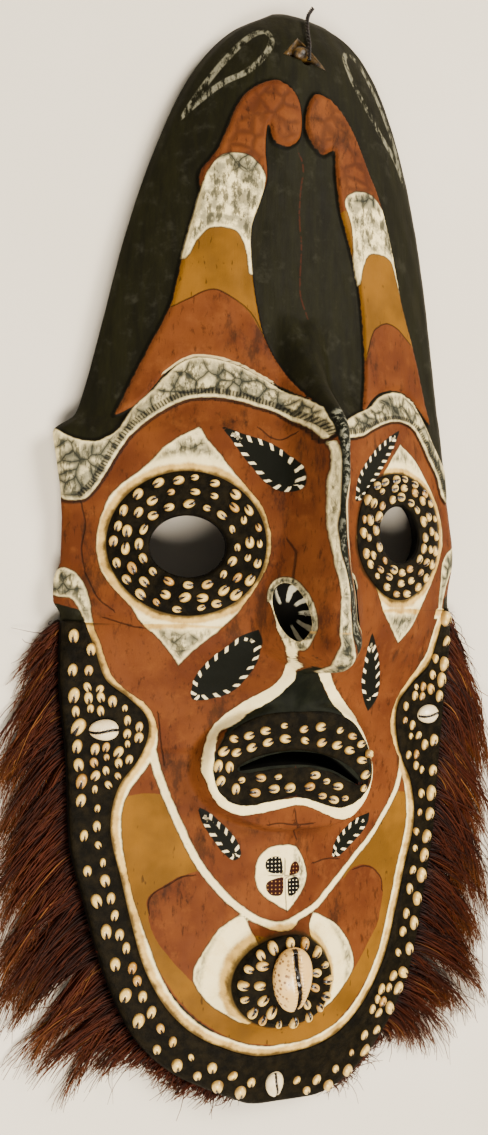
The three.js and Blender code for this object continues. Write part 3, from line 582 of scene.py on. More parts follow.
def pasted_area(x, y, inside, near_eye):
    """Where black paste lies: round the eyes, on the lips, on the jaw band and on the chin disc."""
    in_band = np.where(y > BAND_TOP, -FAR, -inside.band_hole)
    from_middle = np.hypot(x / DISC["half_x"], (y - DISC["y"]) / DISC["half_y"])
    return any_of(-near_eye, inside.lips, in_band, DISC["half_y"] * (1 - from_middle))


def age_fields(x, y, inside, near_eye):
    """Where old paint is scaly and where it is flecked, each reaching full strength some mm in."""
    rhomb = both(inside.rhombs, near_eye - BESIDE_RING)
    lobe = both(inside.lobes, np.hypot(x, y - DISC["y"]) - BESIDE_DISC)
    tips = any_of(RHOMB_TIPS[0] - y, y - RHOMB_TIPS[1])
    scaly = any_of(inside.brows / 3, inside.tabs / 4, both(inside.figures, y - HEAD_START) / 6,
                   both(rhomb, tips) / 7, lobe / 9, both(inside.nostril_rim, y + 54) / 1.5,
                   inside.nose_band / 4)
    flecked = any_of(inside.nose_band / 2, inside.nostril_rim, rhomb / 5, lobe / 6,
                     inside.white_figures / 3, inside.brows / 5, inside.tabs / 3,
                     both(inside.chin_oval, x - 5) / 3)
    return {"scaly": np.clip(scaly, 0, 1), "flecked": np.clip(flecked, 0, 1)}


def paint_fields(x, y, z):
    """Every painted area as a field of depths in mm, and what the paint needs along its strokes."""
    inside = SimpleNamespace(**{name: areas(x, y, *outlines) for name, outlines in AREAS.items()})
    inside.white_figures = both(inside.white_figures, inside.figures + 1)
    near_eye = np.minimum(*[np.hypot(x - side * EYE["x"], y - EYE["y"]) - EYE["radius"]
                            for side in (-1, 1)])
    nostril = from_nostril(x, y, z)
    inside.nostril_rim = nostril_rim(x, y, nostril)
    face = both(areas(x, y, FACE), np.where(y > -60, FAR, inside.cream_hole + 1))
    return {
        "orange": any_of(inside.figures, face),
        "ochre": ochre_area(x, y, inside),
        "cream": any_of(inside.white_figures, inside.brows, inside.tabs, inside.rhombs, inside.lobes,
                        inside.mouth_line, stroke(x, y, JAW_LINE, JAW_STROKE), inside.nose_band,
                        inside.nostril_rim, band_line(x, y, inside), inside.chin_oval),
        "ink": both(any_of(areas(x, y, PHILTRUM), inside.nose_shade), -inside.nose_band,
                    -stroke(x, y, NOSE_WING_STRIP, WING_STROKE)),
        "nose_shade": inside.nose_shade,
        "lined": inside.mouth_line,
        "tear": areas(x, y, TEARDROP_LEFT, TEARDROP_RIGHT),
        "pasted": pasted_area(x, y, inside, near_eye),
        "relief": any_of(inside.figures, inside.brows),
        "dark_petal": areas(x, y, *DARK_PETALS),
        "red_petal": areas(x, y, *RED_PETALS),
        "nostril": nostril,
        "even_x": x,
        "even_y": y,
        **leaf_fields(x, y),
        **brow_fields(x, y, inside.brows),
        **age_fields(x, y, inside, near_eye),
        **line_fields(x, y, "light_line", LIGHT_LINES),
        **line_fields(x, y, "dark_line", DARK_LINES),
        **line_fields(x, y, "red_line", RED_LINES),
    }


def ramp(depth, width):
    return smooth_step(depth / width + 0.5)


def tool_marks(x, y):
    """Shallow uneven marks of the knife, up to about half a millimetre."""
    broad = 0.25 * np.sin(x / 5.3 + 2 * np.sin(y / 31)) * np.sin(y / 9.1 + 1.7 * np.sin(x / 17))
    return broad + 0.2 * np.sin(x / 2.9 - y / 23) * np.sin(y / 4.7 + x / 11)


# Heights of the relief in mm, with the groove cut round the figures and the leaves sunk
RELIEF = {"figure": 4.5, "groove": 1.2, "brow": 3.5, "jaw": 1.3, "leaf": 0.6}
# The jaw stands out between these heights only
JAW_RELIEF = (-275, -135)


def low_relief(x, y):
    """Height that the carving adds to or takes from the front."""
    figures = areas(x, y, FIGURE_LEFT, FIGURE_RIGHT)
    brows = areas(x, y, BROW_LEFT, BROW_RIGHT)
    in_jaw = depth_in(x, y, through(JAW_LINE, False))
    groove = RELIEF["groove"] * np.exp(-((figures + 1.5) / 1.5) ** 2)
    figure = RELIEF["figure"] * ramp(figures, 3.5) - groove
    brow = RELIEF["brow"] * ramp(brows, 3) * (0.7 + 0.3 * smooth_step(brows / 8))
    jaw = RELIEF["jaw"] * ramp(in_jaw, 4) * (y > JAW_RELIEF[0]) * (y < JAW_RELIEF[1])
    leaves = RELIEF["leaf"] * ramp(areas(x, y, *LEAVES), 2)
    return np.maximum(figure, brow) + jaw - leaves + tool_marks(x, y)


# Meshes from arrays of corners

def set_fields(mesh, fields):
    """Lays values on a mesh's corners, which its material reads by their names."""
    for key, values in fields.items():
        layer = mesh.attributes.new(key, "FLOAT", "POINT")
        layer.data.foreach_set("value", np.asarray(values, np.float32))


def make_piece(name, corners, faces, materials, slot, fields=None, face_materials=None):
    """A named piece from corners in mm and faces, riding on the one body of the mask."""
    mesh = bpy.data.meshes.new(name)
    mesh.from_pydata((np.asarray(corners) * MM).tolist(), [], faces)
    for material in materials:
        mesh.materials.append(material)
    if face_materials is not None:
        mesh.polygons.foreach_set("material_index", face_materials)
    set_fields(mesh, fields or {})
    mesh.polygons.foreach_set("use_smooth", [True] * len(mesh.polygons))
    piece = bpy.data.objects.new(name, mesh)
    bpy.context.collection.objects.link(piece)
    if slot:
        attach(piece, "root")
    return piece


def tube(rings, loop=False):
    """Corners and faces of a closed form through rings of points, joined round or capped."""
    count, size = rings.shape[:2]
    faces = []
    for i in range(count if loop else count - 1):
        here, there = i * size, (i + 1) % count * size
        for j in range(size):
            k = (j + 1) % size
            faces.append((here + j, here + k, there + k, there + j))
    if not loop:
        faces.append(tuple(range(size - 1, -1, -1)))
        faces.append(tuple((count - 1) * size + j for j in range(size)))
    return rings.reshape(-1, 3), faces


def outward(corners, faces):
    """Faces turned so that the closed form they make faces out."""
    volume = 0.0
    for face in faces:
        a = corners[face[0]]
        for k in range(1, len(face) - 1):
            volume += np.dot(a, np.cross(corners[face[k]], corners[face[k + 1]]))
    return faces if volume > 0 else [tuple(reversed(face)) for face in faces]


def together(forms):
    """Corners and faces of several forms as those of one."""
    corners, faces, start = [], [], 0
    for more, more_faces in forms:
        corners.append(more)
        faces += [tuple(start + k for k in face) for face in more_faces]
        start += len(more)
    return np.concatenate(corners), faces


# The carved body

# The body's rows, as where each stretch of them starts and how many it has
ROW_SPANS = ((CROWN_END, 115), (120, 105), (-48, 56), (-86, 150), (-350, 17), (CHIN_END, 1))
COLUMNS = 186
EDGE_ROUND = {"drop": 2.2, "width": 5}
RIM_LEVELS = (0.7, 0.35, 0)
HOLLOW = {"top": CROWN_END - 22, "bottom": CHIN_END + 24, "floor": 3, "end_slope": 30, "gouge": 0.5}
HOLLOW_GRID = (90, 50)
EYE_FLARE = 0.38
EYE_LIP = 2
GROOVE_RUN = [(-40, -144.5), (-20, -140.3), (2, -139), (30, -142), (51, -152)]
GROOVE_HALF = 4.6
GROOVE_DEPTH = 15
POCKET = [(0, 373), (-13, 357), (21, 353)]
POCKET_FLOOR = (4, 357)
POCKET_DEPTH = 15
HOLE = {"x": 5, "y": 356, "radius": 4}
LUG = {"x": 3, "y": 362, "sunk": 5, "half": (7, 5.5, 5.5)}
# Heights that surely lie under and over the wood where a hole goes through it
UNDER = -10
OVER = 150
OVER_CROWN = 70


def round_turns(count):
    return np.linspace(0, 2 * math.pi, count, endpoint=False)


def circle(x, y, half_x, half_y, count):
    angle = round_turns(count)
    return np.stack([x + half_x * np.cos(angle), y + half_y * np.sin(angle)], -1)


def body_rings():
    """Rings round the body from crown to chin, closest together where the face is steep."""
    ends = [end for end, _ in ROW_SPANS[1:]] + [CHIN_END]
    y = np.concatenate([np.linspace(start, end, rows, endpoint=False)
                        for (start, rows), end in zip(ROW_SPANS, ends)])[:, None]
    share = np.linspace(-1, 1, COLUMNS)[None, :]
    x = share * half_width(share, y)
    y = y + 0 * x
    from_edge = (1 - np.abs(share)) * half_width(share, y)
    from_end = np.minimum(CROWN_END - y, y - CHIN_END)
    near_edge = 1 - smooth_step(np.minimum(from_edge, from_end) / EDGE_ROUND["width"])
    relief = low_relief(x.ravel(), y.ravel()).reshape(x.shape)
    top = placed(x, y, front(x, y) + relief - EDGE_ROUND["drop"] * near_edge)
    walls = []
    for side, levels in ((-1, RIM_LEVELS), (0, RIM_LEVELS[::-1])):
        for level in levels:
            edge = top[:, side].copy()
            taper = RIM_TAPER + (1 - RIM_TAPER) * level
            edge[:, 0] *= taper
            edge[:, 1] *= math.sqrt(taper)
            edge[:, 2] *= level
            walls.append(edge[:, None])
    return np.concatenate([top, *walls], axis=1)


def hollow_rings():
    """The gouged hollow behind the face, which leaves a wall and a flat rim."""
    rows, columns = HOLLOW_GRID
    y = np.linspace(HOLLOW["top"], HOLLOW["bottom"], rows)[:, None]
    share = np.linspace(-1, 1, columns)[None, :]
    x = share * (half_width(share, y) - RIM_WIDTH)
    y = y + 0 * x
    near_end = np.minimum(HOLLOW["top"] - y, y - HOLLOW["bottom"]) / HOLLOW["end_slope"]
    depth = np.maximum(shoulder(x, y) - WALL - HOLLOW["floor"], 1)
    gouges = HOLLOW["gouge"] * np.abs(np.sin(x / 8 + np.sin(y / 37))) * np.sin(y / 21 + x / 30)
    roof = placed(x, y, HOLLOW["floor"] + (depth + gouges) * smooth_step(0.25 + near_end))
    low = roof[:, [-1, 0]].copy()
    low[:, :, 2] = -1
    return np.concatenate([roof, low], axis=1)


def ellipsoid(centre, scale, turn, rows=40, around=64):
    rings = []
    angle = round_turns(around)
    for latitude in np.linspace(-1, 1, rows + 2)[1:-1] * math.pi / 2:
        reach = math.cos(latitude)
        ring = np.stack([reach * np.cos(angle), reach * np.sin(angle),
                         np.full(around, math.sin(latitude))], -1) * scale
        rings.append(ring @ np.array(turn).T + centre)
    return np.array(rings)


def nostril_rings(side):
    centre, axes = nostril_frame(side)
    return ellipsoid(centre, NOSTRIL["half"], axes)


def eye_rings(side, around=96):
    """The eye hole's wall: upright in the outer wood and flaring toward the hollow behind."""
    angle = round_turns(around)
    x, y = circle(side * EYE["hole_x"], EYE["hole_y"], EYE["half_x"], EYE["half_y"], around).T
    lip = front(x, y) - EYE_LIP
    rings = []
    for height in (np.full(around, float(UNDER)), lip, np.full(around, float(OVER))):
        grow = EYE_FLARE * np.maximum(lip - height, 0)
        rings.append(np.stack([x + grow * np.cos(angle), lifted(x, y) + grow * np.sin(angle),
                               height], -1))
    return np.array(rings)


def groove_rings():
    """The blind gap of the mouth, narrow at its ends and deepest along its middle."""
    middle = through(GROOVE_RUN, False, 12)
    share = np.linspace(0, 1, len(middle))
    half = GROOVE_HALF * np.sin(np.pi * (0.06 + 0.88 * share)) ** 0.7
    rings = []
    for turn in round_turns(12):
        side, up = math.cos(turn), math.sin(turn)
        height = LIPS["top"] + 20 if up > 0 else LIPS["top"] - GROOVE_DEPTH * (0.6 - 0.4 * up)
        rings.append(placed(middle[:, 0], middle[:, 1] + half * side, height))
    return np.stack(rings, axis=1)


def hull(points):
    """Corners and faces of the least form around points."""
    shape = bmesh.new()
    for point in points:
        shape.verts.new(point)
    bmesh.ops.convex_hull(shape, input=shape.verts)
    shape.verts.index_update()
    corners = np.array([v.co[:] for v in shape.verts])
    faces = [tuple(v.index for v in face.verts) for face in shape.faces]
    shape.free()
    return corners, faces


def pocket_form():
    """The three-cornered pocket in the crown, which comes to a point below."""
    points = [on_front(x, y, rise) for x, y in POCKET for rise in (0, 14)]
    return hull([*points, on_front(*POCKET_FLOOR, -POCKET_DEPTH)])


def hole_rings(around=20):
    x, y = circle(HOLE["x"], HOLE["y"], HOLE["radius"], HOLE["radius"], around).T
    return np.array([np.stack([x, y, np.full(around, height)], -1) for height in (UNDER, OVER_CROWN)])


def lug_rings():
    return ellipsoid(on_front(LUG["x"], LUG["y"], -LUG["sunk"]), LUG["half"], np.eye(3), 12, 20)


def carve(body, cutters, operation="DIFFERENCE"):
    """Cuts closed forms out of the body, or adds them; each face takes its form's own material."""
    for corners, faces, index in cutters:
        faces = outward(corners, faces)
        cutter = make_piece("cutter", corners, faces, body.data.materials, None,
                            face_materials=[index] * len(faces))
        cut = body.modifiers.new("cut", "BOOLEAN")
        cut.object = cutter
        cut.operation = operation
        cut.solver = "MANIFOLD"
        depsgraph = bpy.context.evaluated_depsgraph_get()
        carved = bpy.data.meshes.new_from_object(body.evaluated_get(depsgraph))
        body.modifiers.clear()
        body.data = carved
        bpy.data.objects.remove(cutter)


# Shells, cowries and paste

def face_frame(x, y, turn, rise):
    """Where a piece sits on the front: its place, and its three axes as columns."""
    reach = 6
    east = on_front(x + reach, y) - on_front(x - reach, y)
    north = on_front(x, y + reach) - on_front(x, y - reach)
    east /= np.linalg.norm(east)
    up = np.cross(east, north)
    up /= np.linalg.norm(up)
    side = np.cross(up, east)
    along = math.cos(turn) * east + math.sin(turn) * side
    across = np.cross(up, along)
    return on_front(x, y, rise), np.stack([along, across, up], axis=1)


SHELL_LENGTH = 8.4
SHELL_WIDTH = 5.9
SHELL_HEIGHT = 3.0
SHELL_SLIT = 1.1
SHELL_SINK = 0.6
# Shares of the way out from a shell's top where it has a ring of corners
SHELL_RINGS = (0.001, 0.2, 0.4, 0.6, 0.76, 0.9, 1)
# Sizes that the shells are picked from, the common one twice
SHELL_SIZES = (0.74, 0.88, 0.95, 1, 1, 1.05, 1.12)


def shell_template():
    """One small shell lying mouth up, with the slit of its mouth running to one end."""
    angle = round_turns(20)
    rings = []
    for share in SHELL_RINGS:
        a = SHELL_LENGTH / 2 * share * np.cos(angle)
        b = SHELL_WIDTH / 2 * share * np.sin(angle) * (1 - 0.16 * np.cos(angle))
        c = SHELL_HEIGHT * math.sqrt(max(1 - share**2.4, 0)) + 0 * a
        slit = np.clip(1 - np.abs(b - 0.2) / (0.35 + 0.14 * np.clip(a, 0, 9)), 0, 1) * (a > -0.4)
        rings.append(np.stack([a, b, c - SHELL_SLIT * slit], -1))
    foot = rings[-1].copy()
    foot[:, 2] = -2
    return tube(np.array([*rings, foot]))


def shells(name, spots, seed):
    """Small shells at spots of (x, y, turn, size), each a little different, as one piece."""
    pick = random.Random(seed)
    local, faces = shell_template()
    forms, tone = [], []
    for x, y, turn, size in spots:
        size *= pick.choice(SHELL_SIZES)
        centre, axes = face_frame(x, y, turn + pick.gauss(0, 0.16), PASTE_RISE - SHELL_SINK)
        tilt = np.array(Matrix.Rotation(pick.gauss(0, 0.12), 3, "X"))
        scale = np.array([size * pick.uniform(0.94, 1.08), size * pick.uniform(0.9, 1.06), size])
        forms.append(((local * scale) @ tilt.T @ axes.T + centre, faces))
        tone.append(np.full(len(local), pick.random()))
    edge = np.hypot(local[:, 0] / SHELL_LENGTH, local[:, 1] / SHELL_WIDTH) * 2
    fields = {"shell_a": np.tile(local[:, 0], len(forms)), "shell_b": np.tile(local[:, 1], len(forms)),
              "edge": np.tile(edge, len(forms)), "tone": np.concatenate(tone)}
    make_piece(name, *together(forms), [MATERIALS["small_shell"]], "cowrie_shell", fields)


# Rows round an eye hole, as how many shells, how far out between hole and rim, and where they start
EYE_ROWS = ((22, 0.83, 0.1), (18, 0.56, 0.3), (16, 0.24, 0))


def eye_spots(side, seed):
    """Three rows of shells around an eye hole, the inner ones now and then turned round."""
    pick = random.Random(seed)
    spots = []
    for count, share, phase in EYE_ROWS:
        for k in range(count):
            angle = 2 * math.pi * (k + phase + pick.uniform(-0.14, 0.14)) / count
            inner = np.array([side * EYE["hole_x"] + EYE["half_x"] * math.cos(angle),
                              EYE["hole_y"] + EYE["half_y"] * math.sin(angle)])
            outer = np.array([side * EYE["x"] + EYE["radius"] * math.cos(angle),
                              EYE["y"] + EYE["radius"] * math.sin(angle)])
            spot = inner + (outer - inner) * (share + pick.uniform(-0.035, 0.035))
            turn = angle + math.pi / 2
            if share < 0.7 and pick.random() < 0.4:
                turn += math.pi
            spots.append((*spot, turn, 1))
    return spots


# The shells on the lips, as the way that they point and their places
LIP_ROWS = [
    (0, [(-45, -124), (-34, -122), (-22, -119), (-8, -116), (7, -119), (20, -119), (35, -123),
         (45, -127), (52, -131), (59, -136)]),
    (0, [(-52, -132), (-43, -133), (-32, -130), (-20, -127), (-7, -125), (8, -127), (21, -129),
         (33, -131), (43, -134), (53, -139)]),
    (-math.pi / 2, [(-56, -142), (-48, -143), (-54, -152), (-43, -158)]),
    (math.pi, [(-39, -152), (-25, -151), (-12, -151), (-29, -161), (-15, -159), (-3, -159)]),
    (math.pi, [(16, -150), (25, -153), (34, -155), (12, -158), (22, -163), (31, -164), (40, -162)]),
    (0.6, [(56, -147), (55, -155)])]


def lip_spots():
    pick = random.Random(40)
    return [(x, y, turn + pick.gauss(0, 0.2), 1) for turn, places in LIP_ROWS for x, y in places]


CHEEK_COWRIE = {"y": -120, "length": 20, "width": 14, "height": 12, "turn": 0, "rise": 3.5}
COWRIES = {
    "left_cheek_cowrie": {"x": -127, **CHEEK_COWRIE},
    "right_cheek_cowrie": {"x": 127, **CHEEK_COWRIE},
    "chin_cowrie": {"x": 0, "y": -289, "length": 44, "width": 28, "height": 24, "turn": 1.6, "rise": 6},
    "rim_cowrie": {"x": 4, "y": -376, "length": 20, "width": 13, "height": 12, "turn": 1.7, "rise": 3.5},
}
BIG_COWRIE = 30
COWRIE_CLEARANCE = 5.2

# Rings on the chin disc, as how many shells, the middle's y and the half widths
DISC_RINGS = ((17, DISC["y"], 32, 28.6), (14, COWRIES["chin_cowrie"]["y"], 21, 28))
DISC_GAP = 6.8
DISC_SHELL_SIZE = 1.12


def disc_spots():
    """Shells like petals round the chin cowrie: an outer ring, and an inner one close to it."""
    pick = random.Random(5)
    spots = []
    for count, middle, half_x, half_y in DISC_RINGS:
        for k in range(count):
            angle = 2 * math.pi * (k + 0.3 + pick.uniform(-0.1, 0.1)) / count
            x, y = half_x * math.cos(angle), middle + half_y * math.sin(angle)
            if all(math.hypot(x - spot[0], y - spot[1]) > DISC_GAP for spot in spots):
                spots.append((x, y, angle + math.pi, DISC_SHELL_SIZE))
    return spots


BAND_FOCUS = -250
BAND_INSET = 1
BAND_LOW = -318
CHEEK_WIDTH = 33
# Rows of shells on the band, as the distance from the rim, the spacing on each stretch, the size
# and where the row starts
BAND_ROWS = [
    (7.5, {"left": 22, "right": 17, "cheek": 13, "low": 17}, 1.36, 10),
    (17.5, {"left": 12.5, "right": 15, "cheek": 9.2, "low": 17}, 1.04, 7),
    *[(from_rim, {"cheek": 8.6}, 0.95, 5 + from_rim / 3) for from_rim in (25.2, 32.8, 40.4, 48)]]
# How far a row goes on where it has no shells
ROW_STEP = 4


def run_along(line):
    """The length of a line up to each of its points."""
    return np.concatenate([[0], np.cumsum(np.linalg.norm(np.diff(line, axis=0), axis=1))])


def band_edges(count):
    """Inner and outer points of the jaw band, evenly along it."""
    line = through(JAW_BAND, False, 16)
    length = run_along(line)
    at = np.linspace(0, length[-1], count)
    inner = np.stack([np.interp(at, length, line[:, i]) for i in (0, 1)], -1)
    focus = np.stack([np.zeros(count), np.maximum(inner[:, 1], BAND_FOCUS)], -1)
    way = inner - focus
    way /= np.linalg.norm(way, axis=1)[:, None]
    near, far = np.zeros(count), np.full(count, 120.0)
    for _ in range(24):
        middle = (near + far) / 2
        x, y = (inner + way * middle[:, None]).T
        fits = (y > CHIN_END + BAND_INSET) & (np.abs(x) < half_width(x, y) - BAND_INSET)
        near, far = np.where(fits, middle, near), np.where(fits, far, middle)
    return inner, inner + way * near[:, None]


def band_stretch(inner, width):
    if inner[1] < BAND_LOW:
        return "low"
    if width > CHEEK_WIDTH:
        return "cheek"
    return "left" if inner[0] < 0 else "right"


def band_spots():
    """Shells on the jaw band: large ones along the rim, small ones inside, many on the cheeks."""
    pick = random.Random(11)
    inner, outer = band_edges(1200)
    length = run_along((inner + outer) / 2)
    width = np.linalg.norm(outer - inner, axis=1)
    spots = []
    for from_rim, spacing, size, at in BAND_ROWS:
        while at < length[-1] - 6:
            i = int(np.searchsorted(length, at))
            stretch = band_stretch(inner[i], width[i])
            across = 1 - from_rim / width[i]
            if across > 0.1 and stretch in spacing:
                spot = inner[i] + (outer[i] - inner[i]) * across
                spot = spot + [pick.uniform(-0.9, 0.9), pick.uniform(-1.4, 1.4)]
                if clear_of_cowries(spot):
                    spots.append((*spot, pick.gauss(-math.pi / 2, 0.25), size))
            at += spacing.get(stretch, ROW_STEP) * pick.uniform(0.9, 1.1)
    return spots


def clear_of_cowries(spot):
    for size in COWRIES.values():
        along, aside = abs(math.cos(size["turn"])), abs(math.sin(size["turn"]))
        half_x = COWRIE_CLEARANCE + (size["length"] * along + size["width"] * aside) / 2
        half_y = COWRIE_CLEARANCE + (size["length"] * aside + size["width"] * along) / 2
        if math.hypot((spot[0] - size["x"]) / half_x, (spot[1] - size["y"]) / half_y) < 1:
            return False
    return True


# Where across a band of paste its rows of corners lie, closest at the edges
PASTE_SHARES = [0, 0.02, *np.linspace(0.06, 0.94, 11), 0.98, 1]
PASTE_EDGE = 0.4
PASTE_LUMP = 0.35


def paste_piece(name, inner, outer, loop, node, edge_in, edge_out):
    """A band of paste between two runs of points, lumpy on top and rounded at its edges."""
    shares = np.array(PASTE_SHARES)[None, :]
    plan = inner[:, None] + (outer - inner)[:, None] * shares[..., None]
    x, y = plan[..., 0], plan[..., 1]
    width = np.linalg.norm(outer - inner, axis=1)[:, None]
    rounded = (smooth_step((shares * width + PASTE_EDGE) / edge_in)
               * smooth_step(((1 - shares) * width + PASTE_EDGE) / edge_out))
    lumps = PASTE_LUMP * np.sin(x / 3.1 + np.sin(y / 5)) * np.sin(y / 3.7 + np.sin(x / 4.3))
    top = on_front(x, y, PASTE_EDGE + (PASTE_RISE - PASTE_EDGE + lumps) * rounded)
    low = on_front(x, y, -PASTE_SINK)[:, [-1, 0]]
    corners, faces = tube(np.concatenate([top, low], axis=1), loop)
    piece = make_piece(name, corners, outward(corners, faces), [MATERIALS["paste"]], "shell_paste")
    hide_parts(node)


LIP_MIDDLE = (2, -143)


def loop_through(points, grow, count):
    """Even points of a closed line round the mouth, grown away from its middle."""
    line = through(points, True, 16)
    way = line - LIP_MIDDLE
    line = line + way / np.linalg.norm(way, axis=1)[:, None] * grow
    return line[np.linspace(0, len(line), count, endpoint=False).astype(int)]


def cowrie_piece(name, x, y, length, width, height, turn, rise, steps=56, around=64):
    """A cowrie lying mouth up: a domed oval whose long toothed slit runs a little curved."""
    share = -np.cos(np.linspace(0, math.pi, steps))[:, None] * 0.999
    angle = round_turns(around)[None, :]
    reach = np.sqrt(1 - share**2) ** 0.9
    a = length / 2 * share + 0 * angle
    b = width / 2 * reach * np.cos(angle) * (1 + 0.12 * share)
    c = height / 2 * reach * np.sin(angle)
    c = np.where(c > 0, c * 0.86, c)
    middle = 0.07 * width * np.sin(2.4 * share) - 0.03 * width
    from_slit = np.abs(b - middle)
    on_top = c > 0
    open_half = width * (0.045 + 0.02 * np.abs(share))
    fall = np.where(on_top & (np.abs(share) < 0.9), 1 - smooth_step(from_slit / open_half - 0.4), 0)
    lip = np.exp(-((from_slit - 0.13 * width) / (0.08 * width)) ** 2) * on_top
    local = np.stack([a, b, c + 0.03 * height * lip - 0.2 * height * fall], -1).reshape(-1, 3)
    centre, axes = face_frame(x, y, turn, rise)
    corners, faces = tube((local @ axes.T + centre).reshape(steps, around, 3))
    fields = {"slit": (from_slit / width + np.where(on_top, 0, 1)).ravel(),
              "shell_a": (a / width).ravel(), "shell_b": (b / width).ravel(),
              "spots": np.full(steps * around, float(length > BIG_COWRIE))}
    piece = make_piece(name + "_shell", corners, outward(corners, faces), [MATERIALS["cowrie"]],
                       "cowrie_shell", fields)
    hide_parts(name)


# The fringe of fibres

# Places along the rim, with how far the fibres reach out and how far they hang toward the chin
FRINGE_STATIONS = [
    (-44, 8, 4), (-60, 24, 30), (-100, 36, 52), (-150, 43, 58), (-200, 46, 60), (-250, 52, 54),
    (-290, 52, 46), (-325, 44, 36), (-340, 26, 24), (-356, 9, 9), (-392, 7, 8.6)]
fringe_reach = curve([(y, reach) for y, reach, _ in FRINGE_STATIONS])
fringe_droop = curve([(y, droop) for y, _, droop in FRINGE_STATIONS])
FRINGE_ROOTS = ([0, 0.86, 1], [-47, -345, -390])
STRANDS = 4000
CLUMPS = 90
STRAND_STEPS = 8
# Strands that reach further from the middle line than this are drawn in
SPREAD = 192
SPREAD_END = 18
STRAND_LOW = 0.15


def strand_mesh(path, radius):
    """Thin three-sided strands along paths, one row of corners to each strand and step."""
    count, steps = path.shape[:2]
    tangent = np.gradient(path, axis=1)
    tangent /= np.linalg.norm(tangent, axis=2)[..., None] + 1e-9
    across = np.cross(tangent, [0.0, 0.0, 1.0])
    across /= np.linalg.norm(across, axis=2)[..., None] + 1e-9
    above = np.cross(across, tangent)
    rings = [path + radius[..., None] * (math.cos(turn) * across + math.sin(turn) * above)
             for turn in (0, 2 * math.pi / 3, 4 * math.pi / 3)]
    corners = np.stack(rings, axis=2)
    corners[..., 2] = np.maximum(corners[..., 2], STRAND_LOW)
    faces = []
    for k in range(count):
        base = k * steps * 3
        for here in range(base, base + (steps - 1) * 3, 3):
            for j in range(3):
                n = (j + 1) % 3
                faces.append((here + j, here + 3 + j, here + 3 + n, here + n))
        last = base + (steps - 1) * 3
        faces += [(base, base + 1, base + 2), (last + 2, last + 1, last)]
    return corners.reshape(-1, 3), faces


def fringe_piece(side, name):
    """Loose fibres rooted along the rim: thin tapering strands that hang together in clumps."""
    pick = np.random.default_rng(21 if side < 0 else 22)
    root = np.sort(pick.uniform(0, 1, STRANDS))
    clump_at = np.sort(pick.uniform(0, 1, CLUMPS))
    clump = np.searchsorted(clump_at, root + pick.normal(0, 0.004, STRANDS))
    clump = np.clip(clump, 0, CLUMPS - 1)

    def shared(mean, spread, low, high):
        """A value for each clump, which its strands share."""
        return np.clip(pick.normal(mean, spread, CLUMPS), low, high)[clump]

    def single(low, high):
        """A value for each strand, as a column."""
        return pick.uniform(low, high, (STRANDS, 1))

    y = np.interp(root, *FRINGE_ROOTS)
    tip_y = np.interp(clump_at[clump], *FRINGE_ROOTS)
    length = shared(0.93, 0.14, 0.62, 1.25) * np.clip(pick.normal(0.82, 0.22, STRANDS), 0.2, 1.12)
    reach = fringe_reach(y) * length * shared(1, 0.15, 0.7, 1.3) * (1.13 if side > 0 else 1)
    droop = fringe_droop(y) * length * shared(1, 0.25, 0.45, 1.6)
    loose = np.where(pick.uniform(0, 1, STRANDS) < 0.15, 9.0, 3.0)[:, None]
    stray = pick.normal(0, 1, (STRANDS, 2)) * loose
    gather = ((tip_y - y) * pick.uniform(0.2, 0.7, STRANDS))[:, None]
    t = np.linspace(0, 1, STRAND_STEPS)[None, :]
    curl = single(0, 2 * math.pi)
    curled = single(0.4, 3.4) * t**1.8
    turns = single(5, 10) * t
    x = side * (half_width(side, y)[:, None] - 1.5 + reach[:, None] * (1 - (1 - t) ** 1.35))
    x = x + stray[:, :1] * t**2 + curled * np.sin(turns + curl)
    hang = y[:, None] + (gather - 1.08 * droop[:, None]) * t**1.3 + stray[:, 1:] * t**2
    hang = hang + curled * np.cos(0.9 * turns + curl)
    past = np.maximum(np.abs(x) - SPREAD, 0)
    x = np.sign(x) * (np.abs(x) - past + SPREAD_END * np.tanh(past / SPREAD_END))
    hump = single(0, 6) * np.sin(np.pi * t)
    z = single(2, 14) * (1 - t) + single(1, 9) * t + hump
    radius = single(0.3, 0.75) * (1 - 0.7 * t)
    corners, faces = strand_mesh(placed(x, hang, z), radius)
    tone = np.clip(0.7 * pick.beta(1.4, 3, STRANDS) + 0.35 * pick.beta(2, 3, CLUMPS)[clump], 0, 1)
    fields = {"tone": np.repeat(tone, STRAND_STEPS * 3),
              "run": np.tile(np.repeat(t[0], 3), STRANDS)}
    piece = make_piece(name + "_strands", corners, faces, [MATERIALS["fibre"]], "fibre", fields)
    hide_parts(name)


# The wire at the crown

# Its way up from the pocket, as x, y and the height over the wood
WIRE_PATH = [(6, 355, 2), (7, 367, 3), (8, 380, 3), (10, 391, 4), (12, 397, 3), (16, 403, 2)]
# How far below the crown's end the wood's height is taken for what lies past it
WIRE_EDGE = 4
WIRE_TURNS = 9
WIRE_RADIUS = 0.85
WIRE_OFFSET = 0.75


def wire_middle(steps):
    """The middle line of the two strands, with its corners eased."""
    knots = np.array([(x, y, float(front(x, min(y, CROWN_END - WIRE_EDGE))) + rise)
                      for x, y, rise in WIRE_PATH])
    share, at = np.linspace(0, 1, steps), np.linspace(0, 1, len(knots))
    path = np.stack([np.interp(share, at, knots[:, i]) for i in range(3)], -1)
    for _ in range(6):
        path[1:-1] = (path[:-2] + 2 * path[1:-1] + path[2:]) / 4
    return share, path


